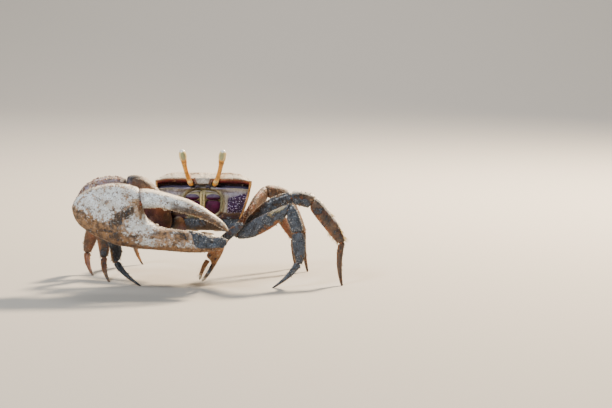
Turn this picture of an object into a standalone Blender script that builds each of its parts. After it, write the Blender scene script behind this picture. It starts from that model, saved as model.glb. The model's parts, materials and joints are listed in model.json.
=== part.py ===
"""A male fiddler crab, life size, standing on its eight walking legs with its great right claw across its face.

Metres, +Z up. The crab looks along -Y, its left side is +X, and the tips of its legs stand on z = 0.
The head end of the shell is the place that everything hangs from: its front edge on the midline is `FRONT`.
"""

import math

import bmesh
import bpy
import numpy as np
from mathutils import Matrix, Vector
from mathutils.bvhtree import BVHTree

MM = 0.001
GAP = 0.3 * MM

# Body: widths and heights of the shell, which is tilted with its front edge up.
SHELL_WIDTH = 35.0 * MM
SHELL_LENGTH = 22.5 * MM
SHELL_DOME = 3.6 * MM
SHELL_REAR_DROP = 5.0 * MM
SHELL_CROWN = 0.72 * MM
SHELL_DEPTH = 13.8 * MM
THORAX_BOTTOM = 18.2 * MM
TILT = math.radians(10)
FRONT = np.array([-1.85, -11.15, 38.5]) * MM
SHELL_SIDES = 56
FACE_RECESS = 1.6 * MM

# Mouth: the middle of its frame below the front edge, and half its width and height.
MOUTH_DROP = 8.1 * MM
MOUTH_WIDE = 6.6 * MM
MOUTH_TALL = 4.9 * MM
MOUTH_DEEP = 1.5 * MM

# Half outline of the shell seen from above, as shares of half its width and of its length, front to rear.
SHELL_OUTLINE = ((0.0, 0.0), (0.45, 0.0), (0.86, 0.02), (1.0, 0.045), (0.965, 0.2), (0.89, 0.45), (0.74, 0.72),
                 (0.56, 0.92), (0.36, 1.0), (0.0, 1.02))

# Eyes: the stalks stand beside the front lobe and lean a little outwards.
STALK_APART = 8.2 * MM
STALK_RADIUS = 0.82 * MM
STALK_LENGTH = 9.2 * MM
STALK_LEAN = math.radians(17)
STALK_BOW = 0.4 * MM
EYE_RADIUS = 1.32 * MM
EYE_LENGTH = 4.9 * MM
EYE_LEAN = math.radians(10)

# Walking legs: the thickest section of each segment of a middle leg.
SEGMENTS = ("base", "merus", "carpus", "propodus", "dactylus")
HEIGHTS = {"base": 3.6 * MM, "merus": 6.1 * MM, "carpus": 5.0 * MM, "propodus": 4.9 * MM, "dactylus": 2.6 * MM}
THICKNESSES = {"base": 2.8 * MM, "merus": 2.8 * MM, "carpus": 3.0 * MM, "propodus": 2.6 * MM, "dactylus": 1.8 * MM}

# How each segment swells and narrows along its length: place, share of its height, share of its thickness.
PROFILES = {
    "base": ((0.0, 0.86, 0.9), (0.35, 1.0, 1.0), (0.75, 0.94, 1.0), (1.0, 0.84, 0.88)),
    "merus": ((0.0, 0.5, 0.72), (0.08, 0.68, 0.88), (0.3, 0.96, 1.0), (0.6, 1.0, 1.0), (0.9, 0.8, 0.98),
              (1.0, 0.64, 0.84)),
    "carpus": ((0.0, 0.7, 0.7), (0.2, 0.94, 0.96), (0.6, 1.0, 1.0), (0.88, 0.94, 0.96), (1.0, 0.8, 0.8)),
    "propodus": ((0.0, 0.74, 0.76), (0.12, 0.97, 0.96), (0.45, 1.0, 1.0), (0.8, 0.8, 0.84), (1.0, 0.54, 0.66)),
    "dactylus": ((0.0, 0.92, 0.94), (0.1, 1.0, 1.0), (0.4, 0.84, 0.84), (0.75, 0.58, 0.62), (1.0, 0.34, 0.46)),
}
BOWS = {"base": 0.0, "merus": 0.8 * MM, "carpus": 0.5 * MM, "propodus": 0.5 * MM, "dactylus": -0.8 * MM}
SAG = {"leg_left_1_merus": -0.6 * MM}  # the merus that is held nearly straight

# Each leg: its size beside a middle leg, and the places of its hip, its five joints and its tip. These are
# in millimetres beside the midline, behind the front edge and above the floor, as the crab holds them.
LEGS = {
    "leg_left_1": (0.96, ((8.0, 6.2, 21.2), (12.2, 5.8, 18.2), (31.0, 0.0, 28.0), (34.2, -1.0, 20.0),
                          (34.6, -2.0, 8.9), (25.6, -2.6, 0.0))),
    "leg_left_2": (1.08, ((9.0, 9.8, 20.9), (14.0, 9.8, 19.4), (31.6, 8.0, 31.4), (39.2, 7.6, 30.0),
                          (49.9, 6.0, 15.6), (50.2, 4.6, 0.0))),
    "leg_left_3": (1.0, ((8.6, 13.4, 20.2), (13.2, 14.2, 18.8), (20.9, 28.0, 31.2), (28.0, 31.5, 29.3),
                         (34.8, 34.0, 15.0), (36.4, 35.0, 0.0))),
    "leg_left_4": (0.82, ((7.2, 16.8, 19.4), (10.6, 19.0, 18.0), (18.8, 31.0, 26.2), (24.2, 36.0, 22.6),
                          (30.5, 41.0, 12.0), (31.6, 43.0, 0.0))),
    "leg_right_1": (0.96, ((8.0, 6.2, 21.2), (12.2, 5.8, 18.2), (31.2, 1.0, 27.0), (33.2, 0.0, 19.0),
                           (31.4, -2.6, 8.4), (22.4, -3.6, 0.0))),
    "leg_right_2": (1.0, ((9.0, 9.8, 20.9), (14.0, 9.8, 19.4), (33.6, 9.0, 28.0), (39.2, 9.4, 21.6),
                          (38.4, 13.0, 7.6), (35.0, 3.6, 0.0))),
    "leg_right_3": (1.0, ((8.6, 13.4, 20.2), (13.2, 14.2, 18.8), (36.8, 18.0, 14.0), (42.4, 16.5, 18.6),
                          (46.2, 21.5, 8.2), (43.5, 17.4, 0.0))),
    "leg_right_4": (0.82, ((7.2, 16.8, 19.4), (10.6, 19.0, 18.0), (25.6, 31.0, 21.0), (29.6, 36.0, 18.6),
                           (31.2, 42.0, 8.4), (28.4, 45.0, 0.0))),
}

# Great claw: its length from the heel of the palm to the finger tips, and its outlines seen from the front as
# (along, up) from the heel, in shares of that length.
CLAW_LENGTH = 55.0 * MM
CLAW_HEEL = np.array([-44.6, -18.0, -8.3]) * MM
CLAW_TURN = math.radians(2)
PALM_TOP = ((0.0, 0.006), (0.006, 0.022), (0.02, 0.05), (0.07, 0.098), (0.138, 0.131), (0.22, 0.151), (0.31, 0.156),
            (0.39, 0.143), (0.431, 0.122), (0.445, 0.073), (0.456, 0.002), (0.492, -0.075), (0.569, -0.122),
            (0.665, -0.14), (0.742, -0.148), (0.813, -0.164), (0.884, -0.18), (0.958, -0.186), (1.0, -0.2))
PALM_UNDER = ((0.0, -0.006), (0.005, -0.03), (0.02, -0.075), (0.055, -0.118), (0.115, -0.162), (0.165, -0.187),
              (0.256, -0.227), (0.367, -0.254), (0.553, -0.271), (0.69, -0.281), (0.813, -0.285), (0.885, -0.28),
              (0.958, -0.262), (1.0, -0.214))
PALM_THICKNESS = ((0.0, 0.03), (0.02, 0.09), (0.06, 0.14), (0.16, 0.19), (0.3, 0.195), (0.42, 0.165), (0.5, 0.128),
                  (0.62, 0.1), (0.8, 0.078), (0.93, 0.052), (1.0, 0.02))
FINGER_TOP = ((0.441, 0.124), (0.516, 0.12), (0.591, 0.104), (0.664, 0.083), (0.738, 0.06), (0.813, 0.025),
              (0.885, -0.018), (0.955, -0.069), (0.99, -0.105), (1.005, -0.134))
FINGER_UNDER = ((0.441, -0.002), (0.5, 0.0), (0.569, 0.004), (0.635, -0.011), (0.738, -0.035), (0.813, -0.056),
                (0.885, -0.085), (0.955, -0.122), (0.99, -0.142), (1.005, -0.15))
FINGER_THICKNESS = ((0.441, 0.13), (0.53, 0.125), (0.65, 0.105), (0.8, 0.076), (0.93, 0.048), (1.005, 0.014))
FINGER_LEAN = 0.17
BIG_TEETH = {"fixed": ((0.545, 0.8 * MM), (0.9, 0.95 * MM)), "moving": ((0.6, 1.15 * MM), (0.83, 0.8 * MM))}

# Arm of the great claw, from its root under the mouth to the palm: joints beside `FRONT`, then heights and
# thicknesses of its merus and carpus.
ARM_JOINTS = np.array([(-7.0, 2.3, -17.6), (-12.2, -3.7, -16.8), (-27.0, -5.2, -3.8), (-41.4, -12.4, -8.2)]) * MM
ARM_HEIGHTS = {"base": 5.0 * MM, "merus": 10.8 * MM, "carpus": 11.4 * MM}
ARM_THICKNESSES = {"base": 4.2 * MM, "merus": 6.4 * MM, "carpus": 8.4 * MM}
ARM_BOWS = {"base": 1.6 * MM, "merus": 2.9 * MM}
ARM_ELBOW = np.array([-38.8, -6.0, -4.2]) * MM
CARPUS_PROFILE = ((0.0, 0.8, 0.66), (0.12, 0.95, 0.86), (0.3, 1.04, 1.0), (0.5, 1.02, 1.04), (0.7, 0.92, 0.98),
                  (0.86, 0.76, 0.86), (1.0, 0.6, 0.7))

# Small claw: joints from its root under the mouth to its finger tips, beside `FRONT`.
SMALL_JOINTS = np.array([(6.6, 2.5, -17.6), (9.4, -1.8, -17.2), (13.4, -5.0, -15.9), (7.4, -7.6, -21.2),
                         (0.0, -8.6, -35.2)]) * MM
SMALL_HEIGHTS = {"base": 2.6 * MM, "merus": 3.0 * MM, "carpus": 3.1 * MM, "palm": 4.8 * MM}
SMALL_THICKNESSES = {"base": 2.2 * MM, "merus": 2.4 * MM, "carpus": 2.6 * MM, "palm": 2.8 * MM}

# Grains: knobs fused with the shell of the great claw and its arm, and beads along the ledge under each eye.
GRAIN_SEED = 11
GRAIN_SUNK = 0.35
PALM_GRAIN_SPACING = 3.1 * MM
PALM_GRAIN = 0.42 * MM
EDGE_GRAIN = 0.5 * MM
TOOTH_GRAIN = 0.62 * MM
LEDGE_BEAD = 0.33 * MM
LEDGE_DROP = 3.3 * MM

COLOURS = {
    "shell": (0.42, 0.31, 0.22),
    "underside": (0.5, 0.42, 0.32),
    "mouth": (0.2, 0.05, 0.16),
    "stalk": (0.75, 0.5, 0.24),
    "eye": (0.5, 0.55, 0.42),
    "claw": (0.78, 0.76, 0.72),
    "leg": (0.24, 0.25, 0.26),
    "leg_rear": (0.45, 0.24, 0.1),
    "small_claw": (0.55, 0.38, 0.2),
}


def clear_scene():
    for obj in list(bpy.data.objects):
        bpy.data.objects.remove(obj, do_unlink=True)


def make_collection(name):
    collection = bpy.data.collections.new(name)
    bpy.context.scene.collection.children.link(collection)
    return collection


def make_material(name):
    material = bpy.data.materials.get(name)
    if material is None:
        material = bpy.data.materials.new(name)
        material.use_nodes = True
        surface = material.node_tree.nodes["Principled BSDF"]
        surface.inputs["Base Color"].default_value = (*COLOURS[name], 1.0)
        surface.inputs["Roughness"].default_value = 0.2 if name == "eye" else 0.6
    return material


def smooth_curve(points, count):
    """`count` points of an even Catmull-Rom curve through `points`, ends included."""
    points = np.asarray(points, float)
    padded = np.vstack([2 * points[0] - points[1], points, 2 * points[-1] - points[-2]])
    place = np.linspace(0, len(points) - 1, count)
    first = np.minimum(place.astype(int), len(points) - 2)
    t = (place - first)[:, None]
    a, b, c, d = (padded[first + k] for k in range(4))
    return 0.5 * (2 * b + (c - a) * t + (2 * a - 5 * b + 4 * c - d) * t**2 + (3 * b - a - 3 * c + d) * t**3)


def read_curve(stations, places):
    """The value of a smooth curve through (place, value) stations, at each of `places`."""
    curve = smooth_curve(stations, 12 * len(stations))
    return np.interp(places, curve[:, 0], curve[:, 1])


def section(sides, power=2.0):
    """A unit ring as two rows: across and up. A power over 2 fills out its corners."""
    angles = np.arange(sides) * 2 * np.pi / sides
    across, up = np.cos(angles), np.sin(angles)
    return (np.sign(across) * np.abs(across) ** (2 / power), np.sign(up) * np.abs(up) ** (2 / power))


def unit(vector):
    return vector / np.linalg.norm(vector)


def loft(name, rings, collection, colour):
    """A closed body through rings of equal count, with a flat cap at each end."""
    rings = np.asarray(rings, float)
    count, sides = rings.shape[:2]
    mesh = bmesh.new()
    corners = [[mesh.verts.new(point) for point in ring] for ring in rings]
    for ring, following in zip(corners, corners[1:]):
        for k in range(sides):
            mesh.faces.new((ring[k], ring[(k + 1) % sides], following[(k + 1) % sides], following[k]))
    for ring in (corners[0], corners[-1]):
        mesh.faces.new(ring)
    bmesh.ops.remove_doubles(mesh, verts=mesh.verts, dist=0.01 * MM)
    bmesh.ops.recalc_face_normals(mesh, faces=mesh.faces)
    data = bpy.data.meshes.new(name)
    mesh.to_mesh(data)
    mesh.free()
    data.shade_smooth()
    data.set_sharp_from_angle(angle=math.radians(50))
    obj = bpy.data.objects.new(name, data)
    collection.objects.link(obj)
    if colour:
        data.materials.append(make_material(colour))
    else:
        obj.hide_render = True
        obj.display_type = "WIRE"
    return obj


def segment_rings(start, end, side, profile, height, thickness, bow=0.0, start_normal=None, end_normal=None,
                  start_gap=GAP / 2, end_gap=GAP / 2, sides=10, power=2.3, grow=0.0):
    """Rings of one limb segment. Its end rings lie in the joint planes, so that two segments meet face to face."""
    along = end - start
    length = np.linalg.norm(along)
    along = along / length
    side = unit(side - along * (side @ along))
    up = np.cross(side, along)
    up = up if up[2] >= 0 else -up
    start_normal = along if start_normal is None else start_normal
    end_normal = along if end_normal is None else end_normal
    across, rise = section(sides, power)
    rings = []
    for place, tall, thick in profile:
        offset = (np.outer(across * (thickness * thick / 2 + grow), side)
                  + np.outer(rise * (height * tall / 2 + grow), up) + up * bow * 4 * place * (1 - place))
        first = (start_gap - offset @ start_normal) / (along @ start_normal)
        last = length + (-end_gap - offset @ end_normal) / (along @ end_normal)
        rings.append(start + offset + np.outer((1 - place) * first + place * last, along))
    return np.array(rings)


def joint_normals(joints):
    """The direction across each joint of a chain: halfway between the segments on its two sides."""
    ways = [unit(b - a) for a, b in zip(joints, joints[1:])]
    inner = [unit(a + b) for a, b in zip(ways, ways[1:])]
    return [ways[0], *inner, ways[-1]]


def to_world(points):
    """Points of the untilted shell, measured from the middle of its front edge, put in place."""
    points = np.asarray(points, float)
    x, y, z = points[..., 0], points[..., 1], points[..., 2]
    turned = np.stack([x, y * math.cos(TILT) + z * math.sin(TILT), z * math.cos(TILT) - y * math.sin(TILT)], -1)
    return turned + FRONT


def shell_outline(sides):
    """The whole outline of the shell seen from above, as (across, back) in metres, counted round once."""
    half = smooth_curve(SHELL_OUTLINE, sides // 2 + 1)
    left = half * (SHELL_WIDTH / 2, SHELL_LENGTH)
    return np.vstack([left, left[-2:0:-1] * (-1, 1)])


def shell_level(outline, wide, front, rear, height):
    """One level of the body: the outline narrowed to `wide`, running from `front` back to `rear`."""
    back = outline[:, 1] / SHELL_LENGTH
    return np.stack([outline[:, 0] * wide, front + (rear - front) * back, height(back)], -1)


def front_crown(x, fade):
    """How far the front edge arches up between its corners, at a distance from the midline."""
    flat = np.clip((np.abs(x) / MM - 12.5) / 4.9, 0, 1)
    return SHELL_CROWN * (1 - flat**2 * (3 - 2 * flat)) * fade


def face_recess(share):
    """How far the face has drawn back at a share of the way down to the foot of the shell."""
    return FACE_RECESS * np.clip(share, 0, 1) ** 2


def body_width(share):
    """Half width of the body beside the rim's, going down the side: 0 at the rim and 1 at the shell's foot."""
    return 1.0 - 0.02 * share - 0.2 * share**1.6


def cut(obj, cutters, operation="DIFFERENCE"):
    modifier = obj.modifiers.new("sockets", "BOOLEAN")
    modifier.operand_type = "COLLECTION"
    modifier.collection = cutters
    modifier.operation = operation
    modifier.solver = "EXACT"


def bake(obj):
    """Give an object the mesh that its modifiers make, and only the largest closed surface of it."""
    graph = bpy.context.evaluated_depsgraph_get()
    data = bpy.data.meshes.new_from_object(obj.evaluated_get(graph))
    obj.modifiers.clear()
    obj.data = data
    mesh = bmesh.new()
    mesh.from_mesh(data)
    unseen, largest = set(mesh.faces), []
    while unseen:
        island, edge = [], [unseen.pop()]
        while edge:
            face = edge.pop()
            island.append(face)
            for near in {other for line in face.edges for other in line.link_faces} & unseen:
                unseen.discard(near)
                edge.append(near)
        largest = max(largest, island, key=len)
    bmesh.ops.delete(mesh, geom=list(set(mesh.faces) - set(largest)), context="FACES")
    mesh.to_mesh(data)
    mesh.free()


def grains_along(obj, starts, way, radii, facing=0.35):
    """Where rays from `starts` meet an object: place, outward direction and radius of a grain to set there."""
    tree = BVHTree.FromObject(obj, bpy.context.evaluated_depsgraph_get())
    way = Vector(way).normalized()
    found = []
    for start, radius in zip(starts, radii):
        place, normal, _, _ = tree.ray_cast(Vector(start), way)
        if place is not None and -normal.dot(way) > facing:
            found.append((place, normal, radius))
    return found


def fuse_grains(obj, grains):
    """Fuse round knobs with an object, each sunk into it by a share of its radius."""
    pieces = make_collection(f"{obj.name}_grains")
    for place, out, radius in grains:
        mesh = bmesh.new()
        turn = out.to_track_quat("Z", "Y").to_matrix().to_4x4()
        bmesh.ops.create_icosphere(mesh, subdivisions=1, radius=radius,
                                   matrix=Matrix.Translation(place - out * radius * GRAIN_SUNK) @ turn)
        data = bpy.data.meshes.new("grain")
        mesh.to_mesh(data)
        mesh.free()
        pieces.objects.link(bpy.data.objects.new("grain", data))
    cut(obj, pieces, "UNION")
    bake(obj)
    for piece in list(pieces.objects):
        bpy.data.objects.remove(piece, do_unlink=True)
    bpy.data.collections.remove(pieces)


def ellipsoid_rings(centre, axis, side, length, radius, rings, sides, first=0.0, last=1.0):
    """Rings of an egg from `first` to `last` of its length along `axis`, with its foot at `centre`."""
    other = np.cross(side, axis)
    across, up = section(sides)
    places = first + (last - first) * np.linspace(0, 1, rings) ** 0.9
    made = []
    for place in places:
        round_share = math.sqrt(max(1 - (2 * place - 1) ** 2, 0.0))
        made.append(centre + axis * length * place + radius * round_share
                    * (np.outer(across, side) + np.outer(up, other)))
    return made


def plate_rings(levels, middle, wide, tall, sides):
    """Rings of a plate let into the face at the mouth, from (depth as a share of the frame's, width share)."""
    across, up = section(sides, 2.6)
    rings = []
    for depth, grow in levels:
        height = -MOUTH_DROP + up * tall * grow
        rings.append(np.stack([middle + across * wide * grow,
                               depth * MOUTH_DEEP + face_recess(-height / SHELL_DEPTH), height], -1))
    return to_world(rings)


def make_shell(parts, cutters):
    """The shell and its face down to the leg roots: a dome over a rim, and sides that narrow below it."""
    outline = shell_outline(SHELL_SIDES)

    def rim(back):
        return -SHELL_REAR_DROP * np.clip(back, 0, 1.02) ** 1.6

    half_wide = outline[: len(outline) // 2 + 1]
    middle = 0.45 * SHELL_LENGTH
    levels = []
    for share in (0.05, 0.3, 0.52, 0.7, 0.83, 0.92, 0.98, 1.0):
        x = outline[:, 0] * share
        y = middle + (outline[:, 1] - middle) * share
        back = np.clip(y / SHELL_LENGTH, 0, 1)
        across = np.clip(np.abs(x) / (np.interp(y, half_wide[:, 1], half_wide[:, 0]) + 0.1 * MM), 0, 1)
        dome = (1 - across ** (6 - 3 * back)) ** 0.9 * (1 - np.exp(-back / 0.1)) * (1 - back**3)
        crown = front_crown(x, np.clip(1 - back / 0.3, 0, 1))
        levels.append(np.stack([x, y, rim(back) + crown + SHELL_DOME * dome * (1 - share**14)], -1))
    for share in (0.06, 0.2, 0.4, 0.6, 0.8, 1.0):
        wide = body_width(share)
        front = face_recess(share)
        rear = SHELL_LENGTH - 2.4 * MM * share
        crown = front_crown(outline[:, 0] * wide, max(1 - share / 0.4, 0))
        levels.append(shell_level(outline, wide, front, rear,
                                  lambda back, share=share, crown=crown: rim(back) * (1 - share) - SHELL_DEPTH * share
                                  + crown * np.clip(1 - back / 0.06, 0, 1)))
    shell = loft("carapace", to_world(levels), parts, "shell")

    across, up = section(10, 3.0)
    for name, inner, outer, top, foot, depth in (("orbit_left", 3.2, 17.0, -0.7, -2.8, 2.4),
                                                 ("orbit_right", -17.0, -3.2, -0.7, -2.8, 2.4),
                                                 ("antennule_slot", -5.6, 5.6, -1.4, -2.6, 1.5)):
        rings = []
        for share in (0.0, 0.12, 0.5, 0.88, 1.0):
            end = 1 - 0.45 * abs(2 * share - 1) ** 6
            middle_up = (top + foot) / 2
            rings.append(np.stack([np.full(10, inner + (outer - inner) * share),
                                   across * depth * end,
                                   middle_up + up * (top - foot) / 2 * end], -1) * MM)
        loft(name, to_world(rings), cutters, None)
    loft("mouth_frame", plate_rings(((-4.0, 1.0), (0.7, 1.0), (1.0, 0.96)), 0.0, MOUTH_WIDE, MOUTH_TALL, 20),
         cutters, None)
    cut(shell, cutters)
    bake(shell)
    across = np.arange(4.4, 15.8, 1.35) * MM
    across = np.concatenate([across, -across])
    starts = to_world(np.stack([across, np.full_like(across, -4 * MM), np.full_like(across, -LEDGE_DROP)], -1))
    fuse_grains(shell, grains_along(shell, starts, (0, 1, 0), np.full(len(across), LEDGE_BEAD)))


def make_thorax(parts, cutters):
    """The underside between the legs: it narrows to a flat breast plate, with a socket for each limb."""
    outline = shell_outline(SHELL_SIDES)
    levels = []
    for share, wide, front, rear in ((0.0, 0.76, 1.9, 19.6), (0.3, 0.72, 2.1, 19.2), (0.65, 0.62, 2.7, 18.4),
                                     (0.9, 0.5, 3.7, 17.4), (1.0, 0.42, 4.6, 16.6)):
        top = -SHELL_DEPTH - GAP
        height = top + (-THORAX_BOTTOM - top) * share
        levels.append(shell_level(outline, wide, front * MM, rear * MM,
                                  lambda back, height=height: np.full_like(back, height)))
    thorax = loft("thorax", to_world(levels), parts, "underside")
    cut(thorax, cutters)


def make_pleon(parts):
    """The narrow folded tail of a male, under the breast plate, with a ridge at each of its joints."""
    rings = []
    across, up = section(12, 3.0)
    joints = 6
    places = np.linspace(0, 1, 2 * joints + 1)
    for k, place in enumerate(places):
        wide = 2.9 * MM * (1 - 0.55 * place**1.4) * (1.0 if k % 2 else 0.9)
        thick = 0.5 * MM * (1.0 if k % 2 else 0.72)
        back = (17.0 - 11.6 * place) * MM
        height = -THORAX_BOTTOM - GAP - thick
        rings.append(np.stack([across * wide, np.full(12, back), height + up * thick], -1))
    loft("pleon", to_world(rings), parts, "underside")


def make_mouth(parts):
    """The two doors of the mouth: tall plates that close on the midline, let into their frame."""
    for name, way in (("maxilliped_left", 1), ("maxilliped_right", -1)):
        rings = []
        for depth, grow in ((1.0 - GAP / MOUTH_DEEP, 0.92), (0.5, 1.0), (0.05, 0.98), (-0.3, 0.86), (-0.5, 0.6)):
            angles = np.linspace(-np.pi / 2, np.pi / 2, 13)
            wide, tall = MOUTH_WIDE - GAP, MOUTH_TALL - GAP
            outer = np.cos(angles) ** (2 / 2.6) * wide
            height = np.sign(angles) * np.abs(np.sin(angles)) ** (2 / 2.6) * tall
            x = np.concatenate([np.maximum(outer, 0.5 * GAP + 0.05 * wide), np.full(3, GAP / 2)])
            z = np.concatenate([height, np.array([0.6, 0.0, -0.6]) * tall])
            x = way * (wide / 2 + (x - wide / 2) * grow - (GAP / 2) * (1 - grow))
            z = -MOUTH_DROP + z * grow
            rings.append(np.stack([x, depth * MOUTH_DEEP + face_recess(-z / SHELL_DEPTH), z], -1))
        loft(name, to_world(rings), parts, "mouth")


def make_eyes(parts, shell_cutters):
    """Each bowed stalk and the more upright eye on its end, with a socket for the stalk in the front of the shell."""
    for name, way in (("left", 1), ("right", -1)):
        foot = FRONT + np.array([way * STALK_APART / 2, -0.1 * MM, -2.0 * MM])
        axis, upright = (unit(np.array([way * math.sin(lean), -0.1, math.cos(lean)])) for lean in (STALK_LEAN, EYE_LEAN))
        side = np.array([0.0, 1.0, 0.0])
        profile = ((0.0, 0.9, 0.9), (0.06, 1.3, 1.3), (0.14, 1.12, 1.12), (0.3, 0.92, 0.92), (0.6, 0.9, 0.9),
                   (0.85, 1.0, 1.0), (1.0, 1.25, 1.25))
        top = foot + axis * STALK_LENGTH
        size = 2 * STALK_RADIUS
        shape = {"bow": -STALK_BOW, "end_gap": 0.0, "power": 2.0}
        rings = segment_rings(foot, top, side, profile, size, size, start_gap=0.0, **shape)
        loft(f"eyestalk_{name}", rings, parts, "stalk")
        socket = segment_rings(foot, top, side, profile, size, size, start_gap=-GAP, grow=GAP, **shape)
        loft(f"stalk_socket_{name}", socket, shell_cutters, None)
        eye_foot = top + axis * GAP - upright * EYE_LENGTH * 0.16
        eye = ellipsoid_rings(eye_foot, upright, side, EYE_LENGTH, EYE_RADIUS, 7, 12, 0.16, 0.985)
        loft(f"eye_{name}", eye, parts, "eye")


def make_legs(parts, sockets):
    """The eight walking legs. Each hip is sunk in a socket of the thorax, and each tip stands on a small flat."""
    for name, (size, places) in LEGS.items():
        way = 1 if "left" in name else -1
        chain = [np.array([FRONT[0] + way * x * MM, FRONT[1] + y * MM, z * MM]) for x, y, z in places]
        heading = unit((chain[2] - chain[1]) * (1, 1, 0))
        side = np.array([-heading[1], heading[0], 0.0])
        normals = joint_normals(chain)
        normals[-1] = np.array([0, 0, -1.0])
        colour = "leg" if name in ("leg_left_1", "leg_left_2", "leg_right_1") else "leg_rear"
        for k, part in enumerate(SEGMENTS):
            tip = part == "dactylus"
            options = {"start_normal": normals[k], "end_normal": normals[k + 1],
                       "sides": 8 if part in ("base", "dactylus") else 10}
            sizes = (HEIGHTS[part] * size, THICKNESSES[part] * size)
            bow = SAG.get(f"{name}_{part}", BOWS[part]) * size
            rings = segment_rings(chain[k], chain[k + 1], side, PROFILES[part], *sizes, bow=bow,
                                  end_gap=0.0 if tip else GAP / 2, **options)
            if tip:
                rings[-1][:, 2] = 0.0
            loft(f"{name}_{part}", rings, parts, colour)
            if part == "base":
                socket = segment_rings(chain[k], chain[k + 1], side, PROFILES[part], *sizes, grow=GAP,
                                       start_gap=-GAP, **options)
                loft(f"{name}_socket", socket, sockets, None)


def finger_body(top_line, under_line, thick_line, places, sides, lean=0.0):
    """Rings of a flat curved body given by its outlines and its thickness. `lean` slants its first ring."""
    across, up = section(sides, 2.4)
    top = read_curve(top_line, places) * CLAW_LENGTH
    under = read_curve(under_line, places) * CLAW_LENGTH
    thick = read_curve(thick_line, places) * CLAW_LENGTH
    rings = []
    for k, place in enumerate(places):
        middle, half = (top[k] + under[k]) / 2, max((top[k] - under[k]) / 2, 0.15 * MM)
        slant = lean * max(1 - (place - places[0]) / 0.15, 0)
        rings.append(np.stack([place * CLAW_LENGTH + slant * half * (1 - up), across * max(thick[k], 0.5 * MM) / 2,
                               middle + up * half], -1))
    return np.array(rings)


def claw_to_world(points):
    x, y, z = points[..., 0], points[..., 1], points[..., 2]
    turned = np.stack([x * math.cos(CLAW_TURN) - y * math.sin(CLAW_TURN),
                       x * math.sin(CLAW_TURN) + y * math.cos(CLAW_TURN), z], -1)
    return turned + FRONT + CLAW_HEEL


def bent_rings(bend, profile, height, thickness, start_gap, end_gap, sides, grow=0.0):
    """Rings of a segment along a bend through three points, each ring square to the bend and its sides upright."""
    first, middle, last = bend
    across, rise = section(sides, 2.4)
    rings = []
    length = np.linalg.norm(last - first)
    for place, tall, thick in profile:
        t = (start_gap + (length - start_gap - end_gap) * place) / length
        centre = (1 - t) ** 2 * first + 2 * t * (1 - t) * middle + t**2 * last
        along = unit((1 - t) * (middle - first) + t * (last - middle))
        up = unit(np.array([0, 0, 1.0]) - along * along[2])
        side = np.cross(along, up)
        rings.append(centre + np.outer(across * (thickness * thick / 2 + grow), side)
                     + np.outer(rise * (height * tall / 2 + grow), up))
    return np.array(rings)


def scatter(low, high, spacing, rng):
    """Points of a staggered grid with some play, over a rectangle given by its corners."""
    rows = np.arange(low[1], high[1], spacing * 0.87)
    points = [(x + (k % 2) * spacing / 2, y) for k, y in enumerate(rows)
              for x in np.arange(low[0], high[0], spacing)]
    return np.array(points) + rng.uniform(-0.2, 0.2, (len(points), 2)) * spacing


def claw_points(along, up, depth):
    """Points in front of, over or under the claw, from shares of its length."""
    along, up, depth = np.broadcast_arrays(along, up, depth)
    return claw_to_world(np.stack([along, depth, up], -1) * CLAW_LENGTH)


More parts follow.
